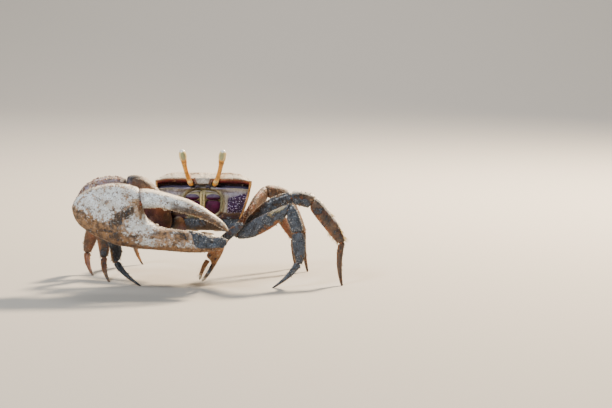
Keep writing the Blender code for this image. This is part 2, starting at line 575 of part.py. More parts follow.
def make_great_claw(parts, body_sockets, palm_sockets):
    """The palm with its fixed finger, the moving finger over it, and the three segments of the arm behind."""
    joints = [FRONT + joint for joint in ARM_JOINTS]
    normals = joint_normals(joints)
    normals[2] = unit(ARM_ELBOW - ARM_JOINTS[2])
    across = np.array([0.0, 1.0, 0.0])
    made = {}
    for k, part in enumerate(("base", "merus")):
        options = {"start_normal": normals[k], "end_normal": normals[k + 1], "sides": 14, "bow": ARM_BOWS[part]}
        sizes = (ARM_HEIGHTS[part], ARM_THICKNESSES[part])
        rings = segment_rings(joints[k], joints[k + 1], across, PROFILES[part], *sizes, **options)
        made[part] = loft(f"claw_{part}", rings, parts, "leg_rear")
        if part == "base":
            socket = segment_rings(joints[k], joints[k + 1], across, PROFILES[part], *sizes, start_gap=-GAP,
                                   end_gap=-GAP, grow=GAP, **options)
            for sockets in body_sockets:
                loft("claw_base_socket", socket, sockets, None)
    bend = (joints[2], FRONT + ARM_ELBOW, joints[3])
    sizes = (ARM_HEIGHTS["carpus"], ARM_THICKNESSES["carpus"])
    made["carpus"] = loft("claw_carpus", bent_rings(bend, CARPUS_PROFILE, *sizes, GAP / 2, 0.0, 14), parts, "claw")
    loft("claw_carpus_socket", bent_rings(bend, CARPUS_PROFILE, *sizes, GAP, -GAP, 14, GAP), palm_sockets, None)

    places = np.concatenate([[0.0, 0.006, 0.02, 0.045, 0.08], np.linspace(0.12, 0.41, 8),
                             np.linspace(0.428, 0.462, 7), np.linspace(0.48, 0.965, 17), [0.985, 1.0]])
    palm = loft("claw_palm", claw_to_world(finger_body(PALM_TOP, PALM_UNDER, PALM_THICKNESS, places, 18)), parts,
                "claw")
    cut(palm, palm_sockets)
    bake(palm)
    places = np.concatenate([[0.441, 0.456], np.linspace(0.49, 0.97, 18), [0.99, 1.005]])
    finger = loft("claw_dactyl", claw_to_world(finger_body(FINGER_TOP, FINGER_UNDER, FINGER_THICKNESS, places, 14,
                                                           FINGER_LEAN)), parts, "claw")

    rng = np.random.default_rng(GRAIN_SEED)
    spacing = PALM_GRAIN_SPACING / CLAW_LENGTH
    face = scatter((0.02, -0.27), (0.62, 0.15), spacing, rng)
    grains = grains_along(palm, claw_points(face[:, 0], face[:, 1], -0.3), (0, 1, 0),
                          rng.uniform(0.7, 1.2, len(face)) * PALM_GRAIN, 0.45)
    for line, up, way, size in ((np.arange(0.05, 0.42, 0.036), 0.4, (0, 0, -1), EDGE_GRAIN),
                                (np.arange(0.1, 0.8, 0.042), -0.5, (0, 0, 1), EDGE_GRAIN * 0.8),
                                (np.arange(0.52, 0.965, 0.031), 0.4, (0, 0, -1), TOOTH_GRAIN)):
        grains += grains_along(palm, claw_points(line, up, 0.0), way, rng.uniform(0.7, 1.15, len(line)) * size)
    line, radii = np.array(BIG_TEETH["fixed"]).T
    grains += grains_along(palm, claw_points(line, 0.4, 0.0), (0, 0, -1), radii)
    fuse_grains(palm, grains)
    line = np.arange(0.53, 0.95, 0.031)
    grains = grains_along(finger, claw_points(line, -0.5, 0.0), (0, 0, 1),
                          rng.uniform(0.7, 1.15, len(line)) * TOOTH_GRAIN)
    line, radii = np.array(BIG_TEETH["moving"]).T
    grains += grains_along(finger, claw_points(line, -0.5, 0.0), (0, 0, 1), radii)
    line = np.arange(0.47, 0.72, 0.036)
    grains += grains_along(finger, claw_points(line, 0.4, 0.0), (0, 0, -1),
                           rng.uniform(0.7, 1.1, len(line)) * EDGE_GRAIN)
    fuse_grains(finger, grains)
    for part, ends in (("merus", (1, 2)), ("carpus", (2, 3))):
        share = np.linspace(0.12, 0.9, 9)[:, None]
        line = joints[ends[0]] * (1 - share) + joints[ends[1]] * share
        grains = []
        for depth in (-1.6, 0.6):
            starts = line + np.array([0, depth, 20]) * MM
            grains += grains_along(made[part], starts, (0, 0, -1), rng.uniform(0.75, 1.15, 9) * EDGE_GRAIN)
        fuse_grains(made[part], grains)


def make_small_claw(parts, body_sockets):
    """The left claw, a feeding tool: slim arm, small palm and two spoon-tipped fingers."""
    joints = [FRONT + joint for joint in SMALL_JOINTS]
    normals = joint_normals(joints)
    across = np.array([0.3, 1.0, 0.0])
    for k, part in enumerate(("base", "merus", "carpus")):
        rings = segment_rings(joints[k], joints[k + 1], across, PROFILES[part], SMALL_HEIGHTS[part],
                              SMALL_THICKNESSES[part], start_normal=normals[k], end_normal=normals[k + 1], sides=10)
        loft(f"small_claw_{part}", rings, parts, "small_claw")
        if part == "base":
            socket = segment_rings(joints[k], joints[k + 1], across, PROFILES[part], SMALL_HEIGHTS[part],
                                   SMALL_THICKNESSES[part], start_normal=normals[k], end_normal=normals[k + 1],
                                   sides=10, start_gap=-GAP, grow=GAP)
            for sockets in body_sockets:
                loft("small_claw_socket", socket, sockets, None)
    palm, tip = joints[3], joints[4]
    along = unit(tip - palm)
    side = unit(across - along * (across @ along))
    up = np.cross(side, along)
    up = up if up[2] > 0 else -up
    length = np.linalg.norm(tip - palm)
    split = 0.5
    rows, rise = section(10, 2.3)

    def ring(place, middle, half, thick):
        return palm + along * place * length + up * middle + np.outer(rows * thick / 2, side) + np.outer(rise * half, up)

    height, thick = SMALL_HEIGHTS["palm"], SMALL_THICKNESSES["palm"]
    fixed = [ring(place, middle * height, half * height, wide * thick) for place, middle, half, wide in (
        (0.0, 0.0, 0.3, 0.7), (0.08, 0.0, 0.42, 0.9), (0.25, 0.0, 0.5, 1.0), (split - 0.04, 0.0, 0.46, 0.96),
        (split + 0.01, -0.28, 0.18, 0.7), (0.75, -0.27, 0.14, 0.52), (0.92, -0.2, 0.11, 0.5), (1.0, -0.14, 0.05, 0.25))]
    fixed[0] = segment_rings(palm, tip, across, ((0.0, 0.6, 0.7), (1.0, 0.2, 0.2)), height, thick,
                             start_normal=normals[3], sides=10)[0]
    loft("small_claw_palm", fixed, parts, "small_claw")
    moving = [ring(place, middle * height, half * height, wide * thick) for place, middle, half, wide in (
        (split + 0.03, 0.24, 0.17, 0.7), (0.65, 0.27, 0.17, 0.62), (0.8, 0.24, 0.14, 0.52), (0.92, 0.17, 0.11, 0.5),
        (1.0, 0.09, 0.05, 0.25))]
    loft("small_claw_dactyl", moving, parts, "small_claw")


def main():
    clear_scene()
    parts = make_collection("fiddler_crab")
    shell_cutters = make_collection("shell_cutters")
    thorax_sockets = make_collection("thorax_sockets")
    palm_sockets = make_collection("palm_sockets")
    make_legs(parts, thorax_sockets)
    make_great_claw(parts, (thorax_sockets, shell_cutters), palm_sockets)
    make_small_claw(parts, (thorax_sockets, shell_cutters))
    make_eyes(parts, shell_cutters)
    make_shell(parts, shell_cutters)
    make_thorax(parts, thorax_sockets)
    make_pleon(parts)
    make_mouth(parts)


main()
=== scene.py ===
# A male fiddler crab, life size. Shapes are worked out in millimetres and put down in metres.
import json
import math

import bpy
import numpy as np
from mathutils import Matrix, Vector

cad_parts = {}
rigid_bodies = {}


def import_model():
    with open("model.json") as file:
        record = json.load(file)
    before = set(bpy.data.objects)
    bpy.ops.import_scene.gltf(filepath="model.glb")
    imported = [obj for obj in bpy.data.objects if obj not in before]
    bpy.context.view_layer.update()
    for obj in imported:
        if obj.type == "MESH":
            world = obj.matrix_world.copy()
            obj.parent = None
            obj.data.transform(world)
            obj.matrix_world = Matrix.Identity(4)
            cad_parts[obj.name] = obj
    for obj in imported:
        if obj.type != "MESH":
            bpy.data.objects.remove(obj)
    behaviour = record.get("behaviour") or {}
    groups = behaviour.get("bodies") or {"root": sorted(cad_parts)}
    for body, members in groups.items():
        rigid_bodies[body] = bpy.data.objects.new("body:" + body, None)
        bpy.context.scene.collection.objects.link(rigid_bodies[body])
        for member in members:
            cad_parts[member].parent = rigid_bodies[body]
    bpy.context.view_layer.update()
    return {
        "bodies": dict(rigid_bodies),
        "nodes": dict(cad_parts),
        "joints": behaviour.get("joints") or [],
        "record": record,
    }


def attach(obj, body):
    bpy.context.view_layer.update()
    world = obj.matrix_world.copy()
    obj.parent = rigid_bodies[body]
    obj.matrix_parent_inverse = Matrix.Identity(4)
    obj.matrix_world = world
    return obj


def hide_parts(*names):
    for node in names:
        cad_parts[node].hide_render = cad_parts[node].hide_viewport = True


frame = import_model()
millimetre = 0.001
print("frame loaded:", len(frame["nodes"]), "nodes")


def rgb(code):  # a paint chart number to linear colour
    value = np.array([int(code[k:k + 2], 16) for k in (0, 2, 4)]) / 255
    return np.where(value <= 0.04045, value / 12.92, ((value + 0.055) / 1.055) ** 2.4)


paint = {name: rgb(code) for name, code in {
    "bone": "dde5eb", "cream": "dccdb6", "tan": "9c7650", "rust": "6e3c20", "umber": "4a3626",
    "soot": "120b09", "clay": "525b69", "clayDark": "1d2027", "slate": "45424f", "olive": "9a8f68",
    "stone": "8d857b", "plum": "43204c", "maroon": "42052e", "lilac": "8a8398", "amber": "cf8a28",
    "orange": "8a5128", "pink": "9b7b70", "silver": "bdb9b2", "straw": "dfc583", "sea": "99a374",
    "frost": "c9bfdd", "ash": "4a3d36", "grit": "b4b7ba", "violet": "260a36", "gold": "c18d50",
    "dusk": "484157", "wine": "5c1716", "ink": "2a1420", "moss": "6f6a50"}.items()}


def solid(name, alpha=1):  # a paint with its cover, as sockets and grains want it
    return (*paint[name], alpha)


def rise(x, start, end):  # 0 before start, 1 after end, an S between them
    t = np.clip((np.asarray(x, float) - start) / (end - start), 0, 1)
    return t * t * (3 - 2 * t)


def fall(x, start, end):  # the same turned round: 1 before start, 0 after end
    return 1 - rise(x, start, end)


def band(x, first, second, third, fourth):  # up from first to second, down again from third to fourth
    return rise(x, first, second) * fall(x, third, fourth)


def bell(offset, width):  # e to the power of minus (offset / width) squared
    return np.exp(-(offset / width) ** 2)


def roundEnd(share, least):  # a quarter circle: the root of 1 - (1 - share)^2, with share from least to 1
    return np.sqrt(1 - (1 - np.clip(share, least, 1)) ** 2)


def unit(way):  # arrows of length one, along the last axis
    way = np.asarray(way, float)
    return way / (np.linalg.norm(way, axis=-1, keepdims=True) + 1e-12)


# each stretch of the curve is a cubic through its two points, with slopes from their neighbours
def curveAt(points, place):
    points = np.asarray(points, float)
    padded = np.vstack([2 * points[0] - points[1], points, 2 * points[-1] - points[-2]])
    first = np.minimum(np.asarray(place, float).astype(int), len(points) - 2)
    t = (place - first)[:, None]
    a, b, c, d = (padded[first + k] for k in range(4))
    return 0.5 * (2 * b + (c - a) * t + (2 * a - 5 * b + 4 * c - d) * t**2 + (3 * b - a - 3 * c + d) * t**3)


def readCurve(stations, places):  # value of a smooth curve through (place, value, ...) stations
    curve = curveAt(stations, np.linspace(0, len(stations) - 1, 16 * len(stations)))
    return [np.interp(places, curve[:, 0], curve[:, k]) for k in range(1, curve.shape[1])]


def ringShape(sides, power=2.0):  # across and up of a superellipse of radius one
    angle = np.arange(sides) * 2 * np.pi / sides
    across, up = np.cos(angle), np.sin(angle)
    return np.sign(across) * np.abs(across) ** (2 / power), np.sign(up) * np.abs(up) ** (2 / power)


def lumps(points, size, seed):  # random values on a lattice of that size, blended by an S between its corners
    table = np.random.default_rng(seed).uniform(-1, 1, 8192)
    cell = np.floor(points / size).astype(np.int64)
    t = points / size - cell
    t = t * t * (3 - 2 * t)
    total = 0
    for corner in np.ndindex(2, 2, 2):
        key = ((cell + corner) * (73856093, 19349663, 83492791)).sum(-1) % len(table)
        total = total + table[key] * np.prod(np.where(corner, t, 1 - t), axis=-1)
    return total


# cross product of the grid's two steps, turned to point away from each ring's middle
def gridNormals(points):
    wrapped = np.concatenate([points[:, -1:], points, points[:, :1]], 1)
    out = unit(np.cross(np.gradient(points, axis=0), wrapped[:, 2:] - wrapped[:, :-2]))
    return out if (out * (points - points.mean(1, keepdims=True))).sum() > 0 else -out


def outward(patch):  # turn all faces round if the signed volume is below zero
    a, b, c = (patch["at"][np.concatenate([patch["quads"][:, [0, j, k]] for j, k in ((1, 2), (2, 3))]
                                          + [patch["tris"]])][:, k] for k in range(3))
    if (a * np.cross(b, c)).sum() < 0:
        patch["quads"], patch["tris"] = patch["quads"][:, ::-1], patch["tris"][:, ::-1]
    return patch


def ringQuads(rows, cols):  # corner numbers, the same one corner on, and the faces between neighbouring rings
    k = np.arange(rows * cols).reshape(rows, cols)
    right = np.roll(k, -1, axis=1)
    return k, right, np.stack([k[:-1], right[:-1], right[1:], k[1:]], -1).reshape(-1, 4)


# rows along, columns round; each end is closed by a fan on its middle
def skin(points, tint=None, look=None):
    rows, cols = points.shape[:2]
    tint = np.zeros((rows, cols, 4)) if tint is None else tint
    look = np.zeros((rows, cols, 3)) if look is None else look
    k, right, quads = ringQuads(rows, cols)
    first, last = np.full(cols, rows * cols), np.full(cols, rows * cols + 1)
    tris = np.concatenate([np.stack([first, right[0], k[0]], -1), np.stack([last, k[-1], right[-1]], -1)])

    def closed(grid):
        return np.concatenate([grid.reshape(rows * cols, -1), grid[:1].mean(1), grid[-1:].mean(1)])

    return outward({"at": closed(points), "quads": quads, "tris": tris, "tint": closed(tint),
                    "look": closed(look)})


def repeated(at, quads, tris, tint, look):  # the same small shape many times: at is (count, corners, 3)
    count, corners = at.shape[:2]
    shift = (np.arange(count) * corners)[:, None, None]
    return {"at": at.reshape(-1, 3), "quads": (quads[None] + shift).reshape(-1, 4),
            "tris": (tris[None] + shift).reshape(-1, 3),
            "tint": np.repeat(np.broadcast_to(tint, (count, 4)), corners, 0),
            "look": np.repeat(np.broadcast_to(look, (count, 3)), corners, 0)}


def grains(at, out, size, tint, look=(0, 0, 0), tall=1.0, sunk=0.35):
    # balls of 6 sides and 3 bands: each a unit ball stretched by tall along its outward arrow, times its size
    ring, level = ringShape(6), np.array([-0.35, 0.3, 0.8])
    wide = np.sqrt(1 - level**2)
    ball = np.stack([np.outer(wide, ring[0]), np.outer(wide, ring[1]), np.repeat(level[:, None], 6, 1)], -1)
    small = skin(ball)
    small["at"][-2:, 2] = (-0.7, 1.0)
    side = unit(np.cross(out, (0.31, 0.2, 0.93)))
    other = np.cross(out, side)
    x, y, z = (small["at"][None, :, k, None] for k in range(3))
    points = x * side[:, None] + y * other[:, None] + (z * tall - sunk) * out[:, None]
    size = np.broadcast_to(size, len(at))
    return repeated(at[:, None] + points * size[:, None, None], small["quads"], small["tris"], tint, look)


def hairs(at, out, bend, length, width, tint):
    # three-sided tapers: root + out * t + bend * t squared, times the length, thinning to a point
    count, t = len(at), np.linspace(0, 1, 5)
    length, width = np.broadcast_to(length, count), np.broadcast_to(width, count)
    spine = (at[:, None] + (out[:, None] * t[:, None] + np.broadcast_to(bend, (count, 3))[:, None]
                            * t[:, None] ** 2) * length[:, None, None])
    side = unit(np.cross(out, (0.21, 0.93, 0.3)))
    other = np.cross(out, side)
    ring = ringShape(3)
    thin = (width[:, None] / 2 * (1 - 0.93 * t**1.6))[..., None, None]
    around = ring[0][:, None] * side[:, None, None] + ring[1][:, None] * other[:, None, None]
    points = (spine[:, :, None] + around * thin).reshape(count, 15, 3)
    one = outward({"at": points[0], "quads": ringQuads(5, 3)[2], "tris": np.array([[2, 1, 0], [12, 13, 14]])})
    return repeated(points, one["quads"], one["tris"], tint, (0, 0, 0))


# one grid corner out of each cell of a lattice, so spots keep apart
def scatterOn(points, where, spacing, seed):
    rng = np.random.default_rng(seed)
    pick = rng.permutation(np.flatnonzero(where.reshape(-1)))
    cell = np.floor(points.reshape(-1, 3)[pick] / spacing + rng.uniform(0, 1, 3)).astype(int)
    return pick[np.unique(cell, axis=0, return_index=True)[1]]


def placed(name, data):  # a new object in the scene
    thing = bpy.data.objects.new(name, data)
    bpy.context.scene.collection.objects.link(thing)
    return thing


# join the patches into one mesh, which rides on the root
def putPiece(name, patches, material, slotName, *nodes):
    starts = np.cumsum([0] + [len(patch["at"]) for patch in patches])
    at, tint, look = (np.concatenate([patch[key] for patch in patches]) for key in ("at", "tint", "look"))
    quads, tris = (np.concatenate([patch[key] + start for patch, start in zip(patches, starts)])
                   for key in ("quads", "tris"))
    mesh = bpy.data.meshes.new(name)
    mesh.vertices.add(len(at))
    mesh.vertices.foreach_set("co", (at * millimetre).astype(np.float32).ravel())
    mesh.loops.add(quads.size + tris.size)
    mesh.loops.foreach_set("vertex_index", np.concatenate([quads.ravel(), tris.ravel()]).astype(np.int32))
    sizes = np.concatenate([np.full(len(quads), 4), np.full(len(tris), 3)])
    mesh.polygons.add(len(sizes))
    mesh.polygons.foreach_set("loop_start", (np.cumsum(sizes) - sizes).astype(np.int32))
    mesh.update(calc_edges=True)
    mesh.validate()
    mesh.polygons.foreach_set("use_smooth", np.ones(len(mesh.polygons), bool))
    for key, kind, field, values in (("tint", "FLOAT_COLOR", "color", tint),
                                     ("look", "FLOAT_VECTOR", "vector", look)):
        layer = mesh.attributes.new(key, kind, "POINT")
        layer.data.foreach_set(field, values.astype(np.float32).ravel())
    mesh.materials.append(material)
    piece = placed(name, mesh)
    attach(piece, "root")
    if nodes:
        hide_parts(*nodes)


# paint layers over each other: (colour name, mask 0 to 1); the last one is on top
def painted(shape, *layers):
    tint = np.zeros((*shape, 4))
    for name, mask in layers:
        mask = np.broadcast_to(np.clip(mask, 0, 1), shape)[..., None]
        left = tint[..., 3:] * (1 - mask)
        total = left + mask
        tint[..., :3] = (tint[..., :3] * left + paint[name] * mask) / np.maximum(total, 1e-6)
        tint[..., 3:] = total
    return tint


# the worn-edge share also carries a painted highlight on the brown legs
def looks(shape, mud=0.0, wear=0.0, stain=0.0):  # shares of mud, worn edge and stain, each 0 to 1
    return np.stack([np.broadcast_to(np.clip(value, 0, 1), shape) for value in (mud, wear, stain)], -1)


# grains wear the paint of their ground, mixed with a share of their own
def matched(tint, look, pick, colour, share):
    ground, mud = tint.reshape(-1, 4)[pick], look.reshape(-1, 3)[pick]
    alpha = ground[:, 3:] * (1 - share) + share
    mixed = (ground[:, :3] * (alpha - share) + paint[colour] * share) / alpha
    return {"tint": np.concatenate([mixed, alpha], 1), "look": mud}


def sprinkled(points, out, ground, spacing, seed, sizes, colour, share, where=None, tall=0.8, rng=None):
    # grains in their ground's own paint on the spots that where allows, of one size or drawn between two
    tint, look = ground
    where = np.ones(points.shape[:2], bool) if where is None else where
    pick = scatterOn(points, where, spacing, seed)
    sizes = sizes if rng is None else rng.uniform(*sizes, len(pick))
    return grains(points.reshape(-1, 3)[pick], out.reshape(-1, 3)[pick], sizes, tall=tall,
                  **matched(tint, look, pick, colour, share))


def specked(points, out, pick, low, high, rng, tint, look, tall):  # grains of one paint on picked corners
    return grains(points.reshape(-1, 3)[pick], out.reshape(-1, 3)[pick], rng.uniform(low, high, len(pick)),
                  tint, look, tall)


# a set of grains for each row of where, spacing, sizes, seed, ...
def sprinkles(points, out, ground, rng, rows):
    return [sprinkled(points, out, ground, spacing, seed, sizes, colour, share, where, rng=rng)
            for where, spacing, sizes, seed, colour, share in rows]


def spot(points, centre, reach):  # 1 at the centre, falling like a bell, with its reach in each direction
    return np.exp(-(((points - centre) / reach) ** 2).sum(-1))


def setSockets(tree, node, inputs):  # link a socket, or put a number or colour into it
    for key, value in inputs.items():
        if isinstance(value, bpy.types.NodeSocket):
            tree.links.new(value, node.inputs[key])
        else:
            node.inputs[key].default_value = value
    return node


def addNode(tree, kind, inputs=None, **settings):  # a shader node with its settings and sockets
    node = tree.nodes.new("ShaderNode" + kind)
    for key, value in settings.items():
        setattr(node, key, value)
    return setSockets(tree, node, inputs or {})


def newGroup(name, inputs, outputs):  # a shader group with its named sockets: kind is Float, Color or Vector
    tree = bpy.data.node_groups.new(name, "ShaderNodeTree")
    for way, sockets in (("INPUT", inputs), ("OUTPUT", outputs)):
        for key, value in sockets.items():
            kind = "Float" if isinstance(value, (int, float)) else ("Color" if len(value) == 4 else "Vector")
            socket = tree.interface.new_socket(key, in_out=way, socket_type="NodeSocket" + kind)
            if way == "INPUT":
                socket.default_value = value
    return tree, tree.nodes.new("NodeGroupInput").outputs, tree.nodes.new("NodeGroupOutput")


def groupNode(tree, group, inputs):  # one of the groups below, put to use; gives its outputs
    node = tree.nodes.new("ShaderNodeGroup")
    node.node_tree = group
    return setSockets(tree, node, inputs).outputs


def mathNode(tree, operation, first, second, third=0.0, clamp=False):
    return addNode(tree, "Math", {0: first, 1: second, 2: third}, operation=operation,
                   use_clamp=clamp).outputs[0]


def times(tree, first, second):
    return mathNode(tree, "MULTIPLY", first, second)


def timesPlus(tree, first, second, third, clamp=False):  # first * second + third
    return mathNode(tree, "MULTIPLY_ADD", first, second, third, clamp)


def mixNode(tree, share, first, second, blend="MIX"):
    return addNode(tree, "Mix", {0: share, 6: first, 7: second}, data_type="RGBA",
                   blend_type=blend).outputs[2]


def rangeNode(tree, value, low, high, toLow=0.0, toHigh=1.0):
    return addNode(tree, "MapRange", {"Value": value, "From Min": low, "From Max": high, "To Min": toLow,
                                      "To Max": toHigh}).outputs[0]


def noiseNode(tree, where, size, detail, rough=0.5):
    return addNode(tree, "TexNoise", {"Vector": where, "Scale": size, "Detail": detail,
                                      "Roughness": rough}).outputs[0]


def cellNode(tree, where, size, random):
    return addNode(tree, "TexVoronoi", {"Vector": where, "Scale": size, "Randomness": random}).outputs[0]


# mottle: two sizes of noise added, then a soft step between a dark and a light colour
mottle, given, ends = newGroup("mottle", {"Vector": (0, 0, 0), "Size": 300.0, "Dark": (0, 0, 0, 1),
                                          "Light": (1, 1, 1, 1)}, {"Color": (0, 0, 0, 1), "Height": 0.0})
coarse = noiseNode(mottle, given["Vector"], given["Size"], 5.0, 0.62)
fine = noiseNode(mottle, given["Vector"], times(mottle, given["Size"], 7.3), 3.0)
both = timesPlus(mottle, fine, 0.5, times(mottle, coarse, 0.75))
tone = mixNode(mottle, rangeNode(mottle, both, 0.5, 0.75), given["Dark"], given["Light"])
setSockets(mottle, ends, {"Color": tone, "Height": both})

# speckle: round spots from cell distances, kept only where a broad noise says so
speckle, given, ends = newGroup("speckle", {"Vector": (0, 0, 0), "Size": 1200.0, "Amount": 0.5},
                                {"Mask": 0.0, "Height": 0.0})
cells = cellNode(speckle, given["Vector"], given["Size"], 1.0)
broad = noiseNode(speckle, given["Vector"], times(speckle, given["Size"], 0.3), 4.0)
reach = times(speckle, rangeNode(speckle, broad, 0.35, 0.7), given["Amount"])
spots = rangeNode(speckle, mathNode(speckle, "SUBTRACT", reach, cells), -0.08, 0.06)
setSockets(speckle, ends, {"Mask": spots, "Height": cells})

# blotch: noise of many sizes, cut off at a level that sinks as the amount grows, so specks spread into stains
blotch, given, ends = newGroup("blotch", {"Vector": (0, 0, 0), "Size": 500.0, "Amount": 0.3},
                               {"Mask": 0.0, "Tone": 0.0})
grit = noiseNode(blotch, given["Vector"], given["Size"], 7.0, 0.74)
level = rangeNode(blotch, given["Amount"], 0.0, 1.0, 0.66, 0.42)
stains = rangeNode(blotch, mathNode(blotch, "SUBTRACT", grit, level), -0.01, 0.03)
tone = noiseNode(blotch, given["Vector"], times(blotch, given["Size"], 0.7), 3.0)
setSockets(blotch, ends, {"Mask": stains, "Tone": rangeNode(blotch, tone, 0.42, 0.6)})

# breakup: a smooth mask made ragged by noise, as a worn or dirty edge is
breakup, given, ends = newGroup("breakup", {"Vector": (0, 0, 0), "Size": 900.0, "Mask": 0.0, "Ragged": 0.6},
                                {"Mask": 0.0})
noise = noiseNode(breakup, given["Vector"], given["Size"], 6.0, 0.7)
shift = times(breakup, mathNode(breakup, "SUBTRACT", noise, 0.5), given["Ragged"])
sharp = rangeNode(breakup, timesPlus(breakup, shift, 2.0, given["Mask"]), 0.35, 0.62)
setSockets(breakup, ends, {"Mask": times(breakup, sharp, rangeNode(breakup, given["Mask"], 0.0, 0.12))})


# a material with its tree and shader, the place on the object and the piece's own tint
def newMaterial(name):
    material = bpy.data.materials.new(name)
    material.use_nodes = True
    tree = material.node_tree
    where = addNode(tree, "TexCoord").outputs["Object"]
    tint = addNode(tree, "Attribute", attribute_name="tint").outputs
    return material, tree, tree.nodes["Principled BSDF"], where, tint


def mottled(tree, where, size, dark, light):  # the mottle group between two paints
    return groupNode(tree, mottle, {"Vector": where, "Size": size, "Dark": solid(dark),
                                    "Light": solid(light)})


def ragged(tree, where, size, mask, amount):  # the breakup group on a mask
    return groupNode(tree, breakup, {"Vector": where, "Size": size, "Mask": mask, "Ragged": amount})["Mask"]


def crust(name, light, dark, stain, speckles, speckleSize, speckleAmount, size, rough=0.5, bump=0.8, coat=0.0,
          frayed=1.5, soft=0.0, stainSize=700.0, shine=0.5):
    # painted shell: mottle, own tint, stains, speckles, worn edges and painted highlights, then mud over all
    material, tree, surface, where, tint = newMaterial(name)
    marks = addNode(tree, "Attribute", attribute_name="look").outputs["Vector"]
    muddy, worn, stained = addNode(tree, "SeparateXYZ", {0: marks}).outputs
    ground = mottled(tree, where, size, dark, light)
    shade = rangeNode(tree, ground["Height"], 0.5, 0.75, 0.5, 1.3)
    colour = mixNode(tree, ragged(tree, where, 750.0, tint["Alpha"], frayed), ground["Color"],
                     mixNode(tree, 1.0, tint["Color"], shade, "MULTIPLY"))
    stains = groupNode(tree, blotch, {"Vector": where, "Size": stainSize, "Amount": stained})
    colour = mixNode(tree, times(tree, stains["Mask"], 0.88), colour,
                     mixNode(tree, stains["Tone"], solid(stain[0]), solid(stain[1])))
    spots = groupNode(tree, speckle, {"Vector": where, "Size": speckleSize, "Amount": speckleAmount})
    colour = mixNode(tree, times(tree, spots["Mask"], 0.85), colour, solid(speckles))
    # cream where the worn-edge share says: worn edges, and on the brown legs a painted highlight
    colour = mixNode(tree, times(tree, ragged(tree, where, 1100.0, worn, 1.2), 0.85), colour, solid("cream"))
    caked = ragged(tree, where, 480.0, muddy, 1.3)
    mudTone = mottled(tree, where, 620.0, "clayDark", "clay")
    sand = groupNode(tree, speckle, {"Vector": where, "Size": 1900.0, "Amount": 0.42})
    mudColour = mixNode(tree, times(tree, sand["Mask"], 0.6), mudTone["Color"], solid("grit"))
    dry = rangeNode(tree, ground["Height"], 0.4, 0.85, rough + 0.12, rough - 0.1)
    dry = timesPlus(tree, stains["Mask"], 0.12, dry)
    pits = groupNode(tree, speckle, {"Vector": where, "Size": 2600.0, "Amount": 0.9})["Height"]
    height = timesPlus(tree, pits, -0.25, ground["Height"])
    height = timesPlus(tree, stains["Mask"], 0.12, height)
    height = timesPlus(tree, times(tree, mudTone["Height"], 2.0), caked, height)
    relief = addNode(tree, "Bump", {"Height": height, "Strength": bump, "Distance": 0.0004})
    setSockets(tree, surface, {"Base Color": mixNode(tree, caked, colour, mudColour),
                               "Roughness": timesPlus(tree, caked, 0.22, dry, True),
                               "Specular IOR Level": shine, "Coat Weight": coat, "Coat Roughness": 0.25,
                               "Subsurface Weight": soft, "Subsurface Radius": (0.003, 0.0015, 0.0008),
                               "Subsurface Scale": 0.5, "Normal": relief.outputs[0]})
    return material


print("materials")
shellCrust = crust("shellCrust", "cream", "stone", ("tan", "ash"), "umber", 1700.0, 0.4, size=230.0, bump=0.9,
                   frayed=1.0, shine=0.3)
clawCrust = crust("clawCrust", "bone", "silver", ("tan", "umber"), "umber", 1700.0, 0.46, size=300.0,
                  rough=0.42, bump=1.0, coat=0.12, stainSize=850.0)
armCrust = crust("armCrust", "pink", "ash", ("rust", "umber"), "umber", 1500.0, 0.4, size=320.0, bump=1.0)
mudCrust = crust("mudCrust", "tan", "umber", ("rust", "umber"), "soot", 1300.0, 0.35, size=300.0, rough=0.55,
                 bump=1.1, coat=0.35)
rustCrust = crust("rustCrust", "orange", "rust", ("tan", "umber"), "umber", 1500.0, 0.35, size=280.0,
                  rough=0.45, bump=0.9, soft=0.08)
tanCrust = crust("tanCrust", "tan", "orange", ("rust", "umber"), "umber", 1500.0, 0.3, size=300.0)
underCrust = crust("underCrust", "cream", "tan", ("tan", "umber"), "umber", 1200.0, 0.25, size=240.0)
mouthGloss = crust("mouthGloss", "olive", "stone", ("moss", "umber"), "umber", 2000.0, 0.25, size=420.0,
                   rough=0.6, bump=0.5, frayed=0.4, shine=0.2)
stalkGloss = crust("stalkGloss", "amber", "orange", ("orange", "rust"), "straw", 2400.0, 0.25, size=420.0,
                   rough=0.35, bump=0.25, coat=0.2, soft=0.25, frayed=0.6)
jointSkin = crust("jointSkin", "tan", "umber", ("rust", "umber"), "soot", 1800.0, 0.2, size=500.0, rough=0.6,
                  bump=0.6)


def eyeGlaze(name):  # cornea: a greenish cap with fine six-sided facets under a clear coat
    material, tree, surface, where, tint = newMaterial(name)
    cells = cellNode(tree, where, 9000.0, 0.35)
    ground = mottled(tree, where, 900.0, "olive", "sea")
    colour = mixNode(tree, rangeNode(tree, cells, 0.25, 0.7, 0.0, 0.4), ground["Color"], solid("umber"))
    relief = addNode(tree, "Bump", {"Height": cells, "Strength": 0.25, "Distance": 0.00005}, invert=True)
    setSockets(tree, surface, {
        "Base Color": mixNode(tree, tint["Alpha"], colour, tint["Color"]), "Coat Weight": 0.7,
        "Roughness": rangeNode(tree, cells, 0.0, 0.7, 0.22, 0.34), "Coat Roughness": 0.12,
        "Normal": relief.outputs[0]})
    return material


def hairSheen(name):  # bristle: straw to brown along noise, a little glossy
    material, tree, surface, where, tint = newMaterial(name)
    ground = mottled(tree, where, 700.0, "umber", "tan")
    setSockets(tree, surface, {
        "Base Color": mixNode(tree, tint["Alpha"], ground["Color"], tint["Color"]),
        "Roughness": rangeNode(tree, ground["Height"], 0.4, 0.8, 0.5, 0.35)})
    return material


corneaGlaze, bristle = eyeGlaze("corneaGlaze"), hairSheen("bristle")

